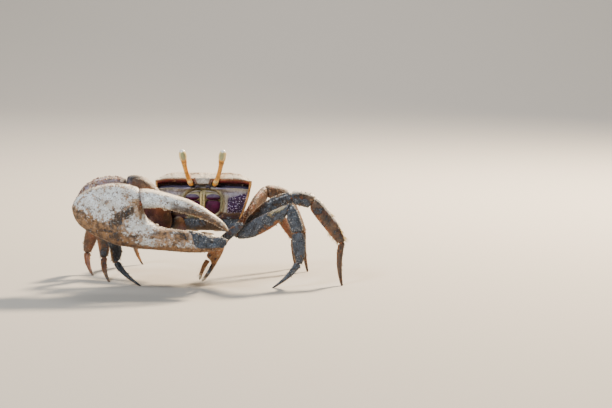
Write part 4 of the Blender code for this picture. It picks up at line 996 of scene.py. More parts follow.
def allStuds(grid, world, out, rng, part, column):  # every row of studs of a part, and its large teeth
    bits = []
    for span, place, (low, high), colour, tall, spread, seed, *fade in claw["studs"][part]:
        step = np.arange(*span)
        sizes = rng.uniform(low, high, len(step)) * np.linspace(*(fade or (1, 1)), len(step))
        bits.append(studs(grid, world, out, place, step, sizes, colour, tall, spread, seed))
    step, size = np.array(claw["teeth"][part]).T
    return [*bits, studs(grid, world, out, column, step, size, "cream", 1.15)]


def clawNormals(grid):  # turned with the claw, but not moved with it
    return clawToWorld(gridNormals(grid)) - clawToWorld(np.zeros(3))


def darkSpecks(name, world, out, rng, low, high, *spots):  # thin dark grains as a piece of their own
    pick = np.concatenate([scatterOn(world, *spot) for spot in spots])
    putPiece(name, [specked(world, out, pick, low, high, rng, solid("ash"), (0, 0, 0), 0.35)], clawCrust,
             "great_claw")


def makePalm(rng):
    place = np.concatenate([np.linspace(0, 0.02, 10)[:-1], np.linspace(0.02, 0.42, 110)[:-1],
                            np.linspace(0.42, 0.47, 40)[:-1], np.linspace(0.47, 0.985, 170)[:-1],
                            np.linspace(0.985, 1, 8)])
    grid, top, under = clawGrid("palm", place)
    a, b = clawShares(grid)
    outer = rise(-grid[..., 1], -0.4, 0.8)
    out = gridNormals(grid)
    groove = clawMark(grid, (0.44, 0.0), (0.26, -0.12), 0.024) * 0.4 * outer  # the dirty fold below the hinge
    keel = 0.3 * bell(b - under - 0.02, 0.008) * outer
    line = 0.26 * bell(b - (top + under) / 2 - 0.01, 0.012) * band(a, 0.55, 0.68, 0.9, 0.97)
    frayed = 0.03 * lumps(grid, 2.6, 88) + 0.014 * lumps(grid, 0.9, 89) + 0.5 * (b + 0.19)
    mudArea = rise(a + frayed, 0.765, 0.785) * fall(a, 0.985, 1.0) * outer
    mudArea = mudArea * rise(b + 0.012 * lumps(grid, 2.0, 83), -0.256, -0.244)
    crusted = mudArea * (0.4 + 0.45 * lumps(grid, 1.3, 84) + 0.25 * lumps(grid, 0.5, 85))
    swell = 0.16 * lumps(grid, 5.0, 81) + 0.07 * lumps(grid, 1.8, 82)
    calm = rise(a, 0.0, 0.02)
    grid = grid + out * ((swell - groove - keel * 0.6 - line) * calm + np.clip(crusted, 0, 1))[..., None]
    world, normal = clawToWorld(grid), clawNormals(grid)
    noise, fine = lumps(grid, 3.2, 86), lumps(grid, 1.1, 87)
    low = rise(0.058 - b - 0.52 * a + 0.02 * noise + 0.01 * fine, 0.0, 0.06) * fall(a, 0.3, 0.5)
    edge = rise(under - b, -0.05, -0.008)
    dirt = sum(share * clawMark(grid, *mark) for share, *mark in claw["dirt"]) * outer
    dirt = dirt * (1 - rise(a, 0.395, 0.42) * (b > -0.05)) * (0.8 + 0.7 * noise + 0.5 * fine)
    dirt = np.clip(dirt, 0, 1.2)
    pollex = rise(a, 0.5, 0.6) * outer
    hinge = (grid, (0.415, 0.045), (0.44, -0.025))
    tint = painted(a.shape, ("tan", np.clip(low * 0.7 + (1 - outer) * 0.55 + pollex * 0.4, 0, 0.9)),
                   ("tan", edge * 0.9), ("orange", rise(edge, 0.6, 1.0) * 0.4),
                   ("tan", clawMark(*hinge, 0.026) * outer),
                   ("cream", clawMark(*hinge, 0.02) * outer * 0.35),
                   ("rust", clawMark(grid, (0.425, 0.05), (0.445, -0.02), 0.01) * outer
                    * rise(fine, -0.2, 0.4) * 0.8), ("umber", low * rise(fine, -0.3, 0.5) * 0.6),
                   ("ash", pollex * rise(noise + 0.5 * fine, 0.1, 0.7) * 0.6),
                   ("ash", rise(dirt, 0.35, 0.9) * 0.85), ("soot", rise(dirt + 0.4 * fine, 0.8, 1.2) * 0.4),
                   ("cream", rise(b - top, -0.03, -0.004) * fall(a, 0.4, 0.44) * 0.6), ("clay", mudArea),
                   ("silver", mudArea * rise(crusted, 0.55, 0.8) * 0.4))
    stain = 0.5 + 0.2 * noise + 0.5 * low + 0.6 * dirt - 0.9 * rise(dirt, 0.55, 1.0) + 0.36 * pollex
    stain = stain + 0.25 * (1 - outer)
    look = looks(a.shape, np.maximum(mudArea, 0.25 * rise(dirt, 0.6, 1.0)), 0.0, stain * (1 - mudArea))
    clean = mudArea < 0.3
    seen = (outer > 0.4) & clean
    bits = [skin(world, tint, look), *sprinkles(world, normal, (tint, look), rng, (
        ((outer > 0.5) & (a < 0.5) & clean, 0.85, (0.09, 0.2), 91, "bone", 0.45),
        ((outer > 0.5) & (a < 0.42) & (b > 0.02), 1.5, (0.12, 0.22), 92, "tan", 0.6),
        ((outer > 0.5) & (a < 0.55) & (b < -0.02) & clean, 1.3, (0.12, 0.24), 93, "tan", 0.6),
        ((outer > 0.5) & (a > 0.5) & clean, 1.1, (0.06, 0.13), 94, "bone", 0.45),
        ((outer < 0.3) & (a < 0.45), 1.5, (0.08, 0.16), 95, "cream", 0.45)))]
    darkSpecks("palm_specks", world, normal, rng, 0.07, 0.17,
               (seen & (dirt + low + 0.5 * pollex > 0.4), 0.85, 97), (seen & (a < 0.7), 2.0, 98))
    clod = scatterOn(world, (mudArea > 0.7) & (outer > 0.3), 1.0, 96)
    bits.append(specked(world, normal, clod, 0.16, 0.42, rng, solid("clay"), (1, 0, 0), 0.6))
    bits += allStuds(grid, world, normal, rng, "palm", claw["sides"] // 4)
    putPiece("great_palm", bits, clawCrust, "great_claw", "claw_palm")


def makeFinger(rng):  # the moving finger over it, with its first ring slanted to turn on the palm
    place = np.concatenate([np.linspace(0.441, 0.456, 14)[:-1], np.linspace(0.456, 0.98, 190)[:-1],
                            np.linspace(0.98, 1.005, 12)])
    grid, top, under = clawGrid("finger", place, claw["lean"])
    a, b = clawShares(grid)
    outer = rise(-grid[..., 1], -0.3, 0.6)
    out = gridNormals(grid)
    middle = top * 0.45 + under * 0.55
    line = 0.24 * bell(b - middle, 0.009) * band(a, 0.5, 0.6, 0.88, 0.95)
    swell = 0.1 * lumps(grid, 3.5, 101) + 0.05 * lumps(grid, 1.4, 102)
    grid = grid + out * (swell - line)[..., None] * rise(a, 0.44, 0.46)[..., None]
    world, normal = clawToWorld(grid), clawNormals(grid)
    noise, fine = lumps(grid, 2.6, 103), lumps(grid, 1.0, 104)
    edge = rise(b - top, -0.03, -0.004)
    worn = rise(under - b, -0.035, -0.004)
    tipward = rise(a + 0.06 * noise, 0.62, 0.95)
    shade = rise(middle - b + 0.012 * noise, -0.012, 0.006) * rise(a + 0.02 * noise, 0.62, 0.7) * outer
    tint = painted(a.shape, ("bone", (1 - tipward) * outer * 0.8),
                   ("tan", np.clip((1 - outer) * 0.6 + tipward * 0.45, 0, 0.85)), ("ash", shade * 0.9),
                   ("soot", shade * rise(fine, 0.1, 0.7) * 0.6), ("cream", edge * 0.9),
                   ("ash", worn * rise(noise + a, 0.5, 1.2) * 0.6),
                   ("umber", clawMark(grid, (0.7, 0.03), (0.86, -0.05), 0.016) * rise(noise, -0.2, 0.5)
                    * 0.5), ("rust", fall(a, 0.44, 0.47) * 0.8))
    stain = 0.4 + 0.2 * noise + 0.36 * tipward + 0.45 * worn * rise(a, 0.55, 0.75)
    look = looks(a.shape, 0.2 * worn * rise(noise, 0, 0.6), 0.5 * edge,
                 stain * (1 - 0.35 * edge) - 0.45 * shade)
    bits = [skin(world, tint, look), *sprinkles(world, normal, (tint, look), rng, (
        ((outer > 0.5) & (a < 0.62), 1.0, (0.07, 0.16), 111, "bone", 0.45),
        ((outer > 0.5) & (a > 0.55), 1.3, (0.05, 0.11), 112, "cream", 0.45)))]
    darkSpecks("finger_specks", world, normal, rng, 0.06, 0.14, ((outer > 0.4) & (a > 0.62), 1.0, 113),
               ((outer > 0.4) & (a < 0.62), 2.0, 114))
    bits += allStuds(grid, world, normal, rng, "finger", 3 * claw["sides"] // 4)
    putPiece("great_finger", bits, clawCrust, "great_claw", "claw_dactyl")


def makeHinge():  # soft skin in the turn of the finger, with a pin on each side
    hinge = np.array([(0.43, 0.0, 0.02), (0.449, 0.0, 0.06), (0.452, 0.0, 0.105)]) * claw["length"]
    bits = [skin(tube(clawToWorld(hinge), (4.6, 5.4, 4.2), (1.6, 1.9, 1.5), 28, rounded=1.2))]
    for way in (-1, 1):
        pin = np.array([(0.447, way * 0.03, 0.035), (0.447, way * 0.066, 0.035)]) * claw["length"]
        bits.append(rodPatch(clawToWorld(pin), 1.7, 1.7, 20, ("rust", 0.8), rounded=0.7))
    putPiece("claw_hinge", bits, jointSkin, "great_claw")


clawRandom = np.random.default_rng(5)
makePalm(clawRandom)
makeFinger(clawRandom)
makeHinge()
print("great claw")

# limbs: every segment is a tube between two joints whose end rings lie in the joint planes
limb = {"gap": 0.12, "columns": 44, "power": 2.3, "studded": (0.08, 0.94),
        "crust": {"clay": 0.16, "dark": 0.08, "rust": 0.05},
        "grit": {"clay": "clay", "dark": "stone", "rust": "cream"},
        "tufts": {"merus": 4, "carpus": 4, "propodus": 9, "dactylus": 6}}


def jointNormals(joints):  # halfway between the segments on the two sides of each joint
    ways = [unit(b - a) for a, b in zip(joints, joints[1:])]
    return [ways[0], *[unit(a + b) for a, b in zip(ways, ways[1:])], ways[-1]]


def squareTo(along, side):  # side made square to along, and the upward direction square to both
    side = unit(side - along * (side @ along))
    up = np.cross(side, along)
    return side, up if up[2] >= 0 else -up


def segmentGrid(start, end, side, stations, height, thickness, bow, startNormal, endNormal, rows):
    # at share p: ring = start + offset + along * (first (1 - p) + last p), so both ends lie in their planes
    along = end - start
    length = np.linalg.norm(along)
    along = along / length
    side, up = squareTo(along, side)
    place = 0.5 - 0.5 * np.cos(np.linspace(0, np.pi, rows))
    tall, thick = readCurve(stations, place)
    lip = 1 - 0.3 * (1 - np.clip(np.minimum(place, 1 - place) * length / 0.5, 0, 1)) ** 2
    across, level = ringShape(limb["columns"], limb["power"])
    p = place[:, None]
    offset = ((across * (thickness * thick * lip / 2)[:, None])[..., None] * side
              + (level * (height * tall * lip / 2)[:, None] + bow * 4 * p * (1 - p))[..., None] * up)
    first = (limb["gap"] / 2 - offset @ startNormal) / (along @ startNormal)
    last = length + (-limb["gap"] / 2 - offset @ endNormal) / (along @ endNormal)
    points = start + offset + ((1 - p) * first + p * last)[..., None] * along
    return points, np.broadcast_to(p, offset.shape[:2]), side, up


def bridge(ring, following, shrink, reach):
    # soft skin between two end rings: shrunk copies of both, swelling a little in the middle
    a, b = (r.mean(0) + (r - r.mean(0)) * shrink for r in (ring, following))
    way = unit(b.mean(0) - a.mean(0))
    t = np.linspace(0, 1, 9)[:, None, None]
    wave = 1 + 0.05 * np.sin(t * np.pi * 5)
    rings = (a - way * reach) * (1 - t) + (b + way * reach) * t
    middle = rings.mean(1, keepdims=True)
    return skin(middle + (rings - middle) * wave)


def bridges(ends, shrink, reach):  # a soft skin from each segment's last ring to the next one's first
    soft = []
    for (_, last), (first, _) in zip(ends, ends[1:]):
        if len(first) != len(last):
            first = first[np.linspace(0, len(first), len(last), endpoint=False).astype(int)]
        soft.append(bridge(last, first, shrink, reach))
    return soft


def segmentPatch(grid, place, layers, look, seed, rough=0.05):
    # grid + outward arrow * rough * two sizes of lumps, painted and closed
    out = gridNormals(grid)
    grid = grid + out * (rough * lumps(grid, 1.3, seed) + rough * 0.5 * lumps(grid, 0.5, seed + 1))[..., None]
    tint = painted(place.shape, *layers)
    return grid, out, skin(grid, tint, look), tint


def edgeStuds(grid, out, place, column, count, low, high, colour, seed, tall=1.1, spread=1.5):
    # knobs along one column of a segment, evenly spaced with some play in their places and sizes
    rng = np.random.default_rng(seed)
    first, last = limb["studded"]
    want = np.linspace(first, last, count) + rng.uniform(-0.3, 0.3, count) * (last - first) / count
    rows = np.abs(place[:, 0][None] - want[:, None]).argmin(1)
    cols = np.round(column + rng.uniform(-1, 1, count) * spread).astype(int) % grid.shape[1]
    return grains(grid[rows, cols], out[rows, cols], rng.uniform(low, high, count), solid(colour, 0.85),
                  (0, 0.4, 0.4), tall)


# shape of each kind of segment: place along, share of its height, share of its thickness
profiles = {"base": ((0.0, 0.86, 0.9), (0.35, 1.0, 1.0), (0.75, 0.94, 1.0), (1.0, 0.84, 0.88)),
            "merus": ((0.0, 0.5, 0.72), (0.08, 0.68, 0.88), (0.3, 0.96, 1.0), (0.6, 1.0, 1.0),
                      (0.9, 0.8, 0.98), (1.0, 0.64, 0.84)),
            "carpus": ((0.0, 0.7, 0.7), (0.2, 0.94, 0.96), (0.6, 1.0, 1.0), (0.88, 0.94, 0.96),
                       (1.0, 0.8, 0.8)),
            "propodus": ((0.0, 0.74, 0.76), (0.12, 0.97, 0.96), (0.45, 1.0, 1.0), (0.8, 0.8, 0.84),
                         (1.0, 0.54, 0.66)),
            "dactylus": ((0.0, 0.92, 0.94), (0.1, 1.0, 1.0), (0.4, 0.84, 0.84), (0.75, 0.58, 0.62),
                         (1.0, 0.34, 0.46))}

# arm of the great claw: base, a stout merus, and a bent carpus that carries the palm
arm = {"joints": np.array([(-7.0, 2.3, -17.6), (-12.2, -3.7, -16.8), (-27.0, -5.2, -3.8),
                           (-41.4, -12.4, -8.2)]), "elbow": np.array([-38.8, -6.0, -4.2]),
       "heights": {"base": 5.0, "merus": 10.8, "carpus": 11.4},
       "thick": {"base": 4.2, "merus": 6.4, "carpus": 8.4}, "bow": {"base": 1.6, "merus": 2.9},
       "ring": (96, 2.4), "merusStuds": ((11, 141, "cream"), (7, 142, "pink"), (33, 143, "rust")),
       "carpusStuds": ((24, 26, 0.3, 0.55, "rust", 161), (18, 22, 0.2, 0.4, "pink", 162),
                       (30, 22, 0.22, 0.42, "rust", 163), (72, 20, 0.15, 0.3, "tan", 164)),
       "carpus": ((0.0, 0.8, 0.66), (0.12, 0.95, 0.86), (0.3, 1.04, 1.0), (0.5, 1.02, 1.04),
                  (0.7, 0.92, 0.98), (0.86, 0.76, 0.86), (1.0, 0.6, 0.7))}


def makeArmTube(k, part, joints, normals):  # base or merus: a segment with a lighter upper ridge
    height, thick, bow = arm["heights"][part], arm["thick"][part], arm["bow"][part]
    grid, place, _, up = segmentGrid(joints[k], joints[k + 1], np.array([0.0, 1.0, 0.0]), profiles[part],
                                     height, thick, bow, normals[k], normals[k + 1], 110)
    level = (grid - grid.mean(1, keepdims=True)) @ up
    ridge = rise(level / (height / 2), 0.82, 1.0)
    noise = lumps(grid, 2.0, 130)
    mud = 0.25 * rise(noise, 0.2, 0.8) + 0.4 * rise(place, 0.75, 0.95) * (1 - ridge)
    look = looks(place.shape, mud, 0.3 * ridge, 0.4)
    layers = (("rust", 0.9), ("umber", rise(noise, -0.4, 0.4) * 0.8),
              ("tan", rise(lumps(grid, 1.5, 134), 0.2, 0.5) * 0.7),
              # plum over the lower half is painted shade
              ("plum", rise(-level / height, -0.1, 0.3) * 0.6),
              ("orange", spot(grid, joints[2] - (0, 2, 3), (6, 9, 4)) * 0.5),
              ("umber", rise(place, 0.5, 0.75) * 0.9), ("stone", ridge * rise(place, 0.1, 0.4) * 0.55),
              ("slate", rise(place, 0.84, 0.92) * 0.9))
    grid, out, patch, tint = segmentPatch(grid, place, layers, look, 131 + k)
    bits = [patch]
    if part == "merus":
        for column, seed, colour in arm["merusStuds"]:
            bits.append(edgeStuds(grid, out, place, column, 26, 0.18, 0.42, colour, seed))
    bits.append(sprinkled(grid, out, (tint, look), 1.2, 144 + k, 0.12, "tan", 0.3, tall=0.7))
    putPiece("arm_" + part, bits, armCrust, "arm", "claw_" + part)
    return grid[0], grid[-1]


def makeCarpus(joints):
    # along a bend: centre = the three-point curve, rings square to it with upright sides
    t = np.linspace(0, 1, 130)
    bend = (joints[2], body["front"] + arm["elbow"], joints[3])
    gone = 0.1 / np.linalg.norm(bend[2] - bend[0])
    s = (gone + (1 - gone) * t)[:, None]
    centre = (1 - s) ** 2 * bend[0] + 2 * s * (1 - s) * bend[1] + s**2 * bend[2]
    along = unit((1 - s) * (bend[1] - bend[0]) + s * (bend[2] - bend[1]))
    up = unit(np.array([0, 0, 1.0]) - along * along[:, 2:])
    tall, thick = readCurve(arm["carpus"], t)
    grid = ringsOn(centre, np.cross(along, up), thick * arm["thick"]["carpus"] / 2, up,
                   tall * arm["heights"]["carpus"] / 2, *arm["ring"])
    place = np.broadcast_to(t[:, None], grid.shape[:2])
    height = np.broadcast_to(ringShape(*arm["ring"])[1], place.shape)
    noise = lumps(grid, 2.2, 150)
    look = looks(place.shape, 0.25 * rise(-height, 0.3, 1.0), 0.3 * rise(height, 0.7, 1), 0.5 + 0.2 * noise)
    layers = (("tan", rise(-height, 0.2, 0.9) * 0.8), ("lilac", rise(height, -0.6, 0.5) * 0.5),
              ("ash", rise(noise, -0.5, 0.6) * 0.45), ("umber", fall(place, 0.02, 0.09) * 0.9),
              ("slate", fall(place, 0.14, 0.3) * rise(-height, -0.6, 0.2) * 0.9))
    grid, out, patch, tint = segmentPatch(grid, place, layers, look, 151, 0.09)
    bits = [patch]
    for column, count, low, high, colour, seed in arm["carpusStuds"]:
        bits.append(edgeStuds(grid, out, place, column, count, low, high, colour, seed, 1.35, 2.5))
    bits.append(sprinkled(grid, out, (tint, look), 1.1, 155, (0.08, 0.18), "pink", 0.5,
                          (height > -0.4) & (place > 0.05), rng=np.random.default_rng(9)))
    putPiece("arm_carpus", bits, armCrust, "arm", "claw_carpus")
    return grid[0], grid[-1]


def makeArm():  # the merus ends square to the way in which the carpus sets out
    joints = [body["front"] + joint for joint in arm["joints"]]
    normals = jointNormals(joints)
    normals[2] = unit(arm["elbow"] - arm["joints"][2])
    ends = [makeArmTube(k, part, joints, normals) for k, part in enumerate(("base", "merus"))]
    putPiece("arm_joints", bridges([*ends, makeCarpus(joints)], 0.88, 0.7), jointSkin, "arm")


makeArm()
print("arm")

# small claw, for feeding: a slim arm, a narrow palm and two spoon-tipped fingers
feeder = {"joints": np.array([(6.6, 2.5, -17.6), (9.4, -1.8, -17.2), (13.4, -5.0, -15.9), (7.4, -7.6, -21.2),
                              (0.0, -8.6, -35.2)]), "bristles": 40, "sides": 40, "rows": 110,
          "heights": {"base": 2.6, "merus": 3.0, "carpus": 3.1, "palm": 4.8},
          "thick": {"base": 2.2, "merus": 2.4, "carpus": 2.6, "palm": 2.8},
          "palm": ((0.0, 0.0, 0.3, 0.7), (0.08, 0.0, 0.42, 0.9), (0.25, 0.0, 0.5, 1.0),
                   (0.44, 0.0, 0.47, 0.96), (0.5, -0.22, 0.26, 0.74), (0.56, -0.29, 0.17, 0.62),
                   (0.75, -0.27, 0.14, 0.52), (0.92, -0.2, 0.11, 0.5), (1.0, -0.14, 0.05, 0.25)),
          "finger": ((0.52, 0.22, 0.2, 0.72), (0.56, 0.25, 0.19, 0.68), (0.65, 0.27, 0.17, 0.62),
                     (0.8, 0.24, 0.14, 0.52), (0.92, 0.17, 0.11, 0.5), (1.0, 0.09, 0.05, 0.25))}


def makeSmallClaw():
    joints = [body["front"] + joint for joint in feeder["joints"]]
    normals = jointNormals(joints)
    across = np.array([0.3, 1.0, 0.0])
    ends = []
    segments = (("base", (("umber", 0.8),), 0.5), ("merus", (("umber", 0.8), ("olive", 0.2)), 0.7),
                ("carpus", (("umber", 0.7), ("rust", 0.3)), 0.65))
    for k, (part, layers, mud) in enumerate(segments):
        grid, place, *_ = segmentGrid(joints[k], joints[k + 1], across, profiles[part],
                                      feeder["heights"][part], feeder["thick"][part], 0.0, normals[k],
                                      normals[k + 1], 60)
        look = looks(place.shape, mud + 0.3 * lumps(grid, 1.6, 170 + k), 0, 0.4)
        grid, out, patch, tint = segmentPatch(grid, place, layers, look, 171 + 3 * k, 0.04)
        grit = sprinkled(grid, out, (tint, look), 0.7, 175 + k, 0.09, "stone", 0.3, tall=0.7)
        putPiece("feeder_" + part, [patch, grit], tanCrust, "small_claw", "small_claw_" + part)
        ends.append((grid[0], grid[-1]))
    palm, tip = joints[3], joints[4]
    along = unit(tip - palm)
    side, up = squareTo(along, across)
    height, thick = feeder["heights"]["palm"], feeder["thick"]["palm"]
    sides, count = feeder["sides"], feeder["bristles"]
    rng = np.random.default_rng(180)
    for name, node, firstTuft, lastTuft in (("palm", "small_claw_palm", 62, 106),
                                            ("finger", "small_claw_dactyl", 20, 104)):
        # rings at place t: middle and half height follow the stations; the finger tips flatten like spoons
        stations = feeder[name]
        t = np.linspace(stations[0][0], 1.0, feeder["rows"])
        middle, half, wide = readCurve(stations, t)
        lip = roundEnd(np.minimum(t - t[0] + 0.004, 1.004 - t) / 0.03, 0.05)
        line = palm + along * (t * np.linalg.norm(tip - palm))[:, None] + up * (middle * height)[:, None]
        grid = ringsOn(line, side, wide * lip * thick / 2, up, half * lip * height, sides, limb["power"])
        place = np.broadcast_to(t[:, None], grid.shape[:2])
        noise = lumps(grid, 1.8, 181)
        layers = (("gold", 0.35 * rise(noise, -0.3, 0.5)), ("cream", rise(place, 0.8, 0.98) * 0.8),
                  ("umber", rise(noise, 0.3, 0.8) * 0.6))
        look = looks(place.shape, 0.2 + 0.35 * rise(noise, 0, 0.9), 0.2, 0.4)
        grid, out, patch, tint = segmentPatch(grid, place, layers, look, 182, 0.04)
        grit = sprinkled(grid, out, (tint, look), 0.75, 183, 0.1, "cream", 0.4, place < 0.6)
        rows = rng.integers(firstTuft, lastTuft, count)
        cols = (rng.choice([sides // 4, 3 * sides // 4], count) + rng.integers(-4, 5, count)) % sides
        tuft = hairs(grid[rows, cols], unit(out[rows, cols] + along * 0.8), along * 0.3,
                     rng.uniform(0.5, 1.1, count), 0.08, solid("straw", 0.7))
        putPiece("feeder_" + name, [patch, grit], tanCrust, "small_claw", node)
        putPiece("feeder_hair_" + name, [tuft], bristle, "setae")
        if name == "palm":
            ends.append((grid[0], grid[-1]))
    putPiece("feeder_joints", bridges(ends, 0.85, 0.4), jointSkin, "small_claw")


makeSmallClaw()
print("small claw")

# walking legs: size, look and joints of each, in mm beside the midline, behind the front edge, off the floor
legs = {"leg_left_1": (0.96, "clay", ((8.0, 6.2, 21.2), (12.2, 5.8, 18.2), (31.0, 0.0, 28.0),
                                      (34.2, -1.0, 20.0), (34.6, -2.0, 8.9), (25.6, -2.6, 0.0))),
        "leg_left_2": (1.08, "dark", ((9.0, 9.8, 20.9), (14.0, 9.8, 19.4), (31.6, 8.0, 31.4),
                                      (39.2, 7.6, 30.0), (49.9, 6.0, 15.6), (50.2, 4.6, 0.0))),
        "leg_left_3": (1.0, "rust", ((8.6, 13.4, 20.2), (13.2, 14.2, 18.8), (20.9, 28.0, 31.2),
                                     (28.0, 31.5, 29.3), (34.8, 34.0, 15.0), (36.4, 35.0, 0.0))),
        "leg_left_4": (0.82, "rust", ((7.2, 16.8, 19.4), (10.6, 19.0, 18.0), (18.8, 31.0, 26.2),
                                      (24.2, 36.0, 22.6), (30.5, 41.0, 12.0), (31.6, 43.0, 0.0))),
        "leg_right_1": (0.96, "clay", ((8.0, 6.2, 21.2), (12.2, 5.8, 18.2), (31.2, 1.0, 27.0),
                                       (33.2, 0.0, 19.0), (31.4, -2.6, 8.4), (22.4, -3.6, 0.0))),
        "leg_right_2": (1.0, "dark", ((9.0, 9.8, 20.9), (14.0, 9.8, 19.4), (33.6, 9.0, 28.0),
                                      (39.2, 9.4, 21.6), (38.4, 13.0, 7.6), (35.0, 3.6, 0.0))),
        "leg_right_3": (1.0, "rust", ((8.6, 13.4, 20.2), (13.2, 14.2, 18.8), (36.8, 18.0, 14.0),
                                      (42.4, 16.5, 18.6), (46.2, 21.5, 8.2), (43.5, 17.4, 0.0))),
        "leg_right_4": (0.82, "rust", ((7.2, 16.8, 19.4), (10.6, 19.0, 18.0), (25.6, 31.0, 21.0),
                                       (29.6, 36.0, 18.6), (31.2, 42.0, 8.4), (28.4, 45.0, 0.0)))}
# height, thickness and bow of a middle leg
legParts = {"base": (3.6, 2.8, 0.0), "merus": (6.1, 2.8, 0.8), "carpus": (5.0, 3.0, 0.5),
            "propodus": (4.9, 2.6, 0.5), "dactylus": (2.6, 1.8, -0.8)}


def clayLayers(part, place, level, noise, upper, lower):  # a leg caked with clay, bare in places
    ends = part in ("propodus", "dactylus")
    layers = [("orange", lower * band(place, 0.3, 0.55, 0.85, 0.95) * (part == "merus") * 0.9),
              ("olive", band(place, 0.5, 0.65, 0.86, 0.95) * rise(level, 0.0, 0.5) * (part == "merus") * 0.8),
              # silver along the upper edge of merus and carpus is a painted highlight, and keeps the clay off
              # there
              ("silver", upper * 0.35 * rise(place, 0.5, 0.9) * (part in ("merus", "carpus"))),
              ("tan", lower * rise(place, 0.4, 0.7) * ends * 0.9)]
    bareAndHighlight = sum(mask for _, mask in layers)
    return layers, 0.92 - 0.75 * np.clip(bareAndHighlight, 0, 1) + 0.1 * noise, 0.3 * upper


# a brown leg with mud at its root and a painted highlight along its upper edge, strongest on the left
def darkLayers(name, part, place, level, noise, upper, lower):
    left, outward = "left" in name, part not in ("merus", "base")
    muddy = {"base": 0.5, "merus": 0.72, "carpus": 0.55, "propodus": 0.3, "dactylus": 0.3}[part]
    paintedHighlight = {"merus": 0.3 * rise(place, 0.8, 1.0), "carpus": 0.8,
           "propodus": 0.8 * fall(place, 0.3, 0.7)}.get(part, 0.0)
    layers = [("umber", 0.75 + 0 * place), ("rust", rise(noise, -0.1, 0.6) * 0.8 * outward),
              ("soot", rise(noise, 0.0, 0.6) * 0.5 * (part in ("carpus", "propodus"))),
              ("orange", lower * 0.8 * outward),
              ("plum", (part == "merus") * rise(place, 0.84, 0.95) * 0.7 * (not left)),
              # bone along the upper edge is a painted highlight, full on the left legs and faint on the right
              ("bone", rise(level + 0.15 * noise, 0.72, 0.9) * paintedHighlight * (1.0 if left else 0.3))]
    # on the left legs the painted highlight clears the mud and is given as the worn-edge share, painted cream
    paintedHighlightMask = rise(level, 0.6, 0.8) * paintedHighlight * left
    mud = (muddy + 0.3 * noise - 0.3 * upper) * (1 - paintedHighlightMask)
    return layers, mud, np.maximum(0.35 * rise(level, 0.8, 1.0), paintedHighlightMask)


def rustLayers(name, part, place, level, noise, upper):  # a rust-coloured leg, almost clean
    red, gold = "right_3" in name, name == "leg_right_4"
    layers = [("gold", 0.7 * gold + 0 * place),
              ("rust", (0.65 if red else 0.6 + rise(noise, 0.0, 0.8) * 0.4) + 0 * place),
              ("umber", (0.6 if red else 0.85) * rise(noise, -0.6, 0.3)),
              ("tan", rise(level, 0.8, 1.0) * 0.6 * (part in ("carpus", "propodus"))
               * (0.3 if red else 1.0)), ("plum", gold * (part == "merus") * bell(place - 0.75, 0.12) * 0.8),
              ("umber", (part == "dactylus") * rise(place, 0.7, 0.98))]
    return layers, 0.06 + 0.15 * noise + 0.12 * (part == "dactylus") * rise(place, 0.5, 1.0), 0.15 * upper


def legLayers(name, kind, part, grid, place, level):
    # paint, mud and wear of one segment; level is -1 at its lower edge and 1 at its upper edge
    # the clay and brown legs carry a painted highlight along their upper edge
    noise = lumps(grid, 2.4, 200)
    upper, lower = rise(level, 0.45, 0.95), rise(-level, 0.3, 0.9)
    if kind == "clay":
        return clayLayers(part, place, level, noise, upper, lower)
    if kind == "dark":
        return darkLayers(name, part, place, level, noise, upper, lower)
    return rustLayers(name, part, place, level, noise, upper)


def legTufts(rng, name, kind, part, grid, out, lean):
    # bristles in tufts along both edges: each tuft has one root and bristles that fan out
    bright, foot = name == "leg_left_2" and part == "propodus", part == "dactylus"
    colour = "straw" if bright else ("tan" if kind == "rust" else "umber")
    tufts = []
    for column, share in ((limb["columns"] // 4, 1.0), (3 * limb["columns"] // 4, 0.8)):
        count = int(limb["tufts"][part] * share * (1.6 if bright else 1.0))
        rows = np.repeat(rng.integers(40 if bright else 8, 55 if foot else 82, count), 5)
        cols = np.repeat((column + rng.integers(-3, 4, count)) % limb["columns"], 5)
        fan = rng.normal(0, 0.22, (5 * count, 3))
        heading = unit(out[rows, cols] + lean * rng.uniform(0.3, 1.0, (5 * count, 1)) + fan)
        long = rng.uniform(0.4, 1.0, 5 * count) * (1.7 if bright else 0.8) * (0.8 if foot else 1.0)
        tufts.append(hairs(grid[rows, cols] - out[rows, cols] * 0.1 + fan * 0.4, heading,
                           lean * 0.25 + (0, 0, -0.12), long, 0.14, solid(colour, 0.9)))
    return tufts


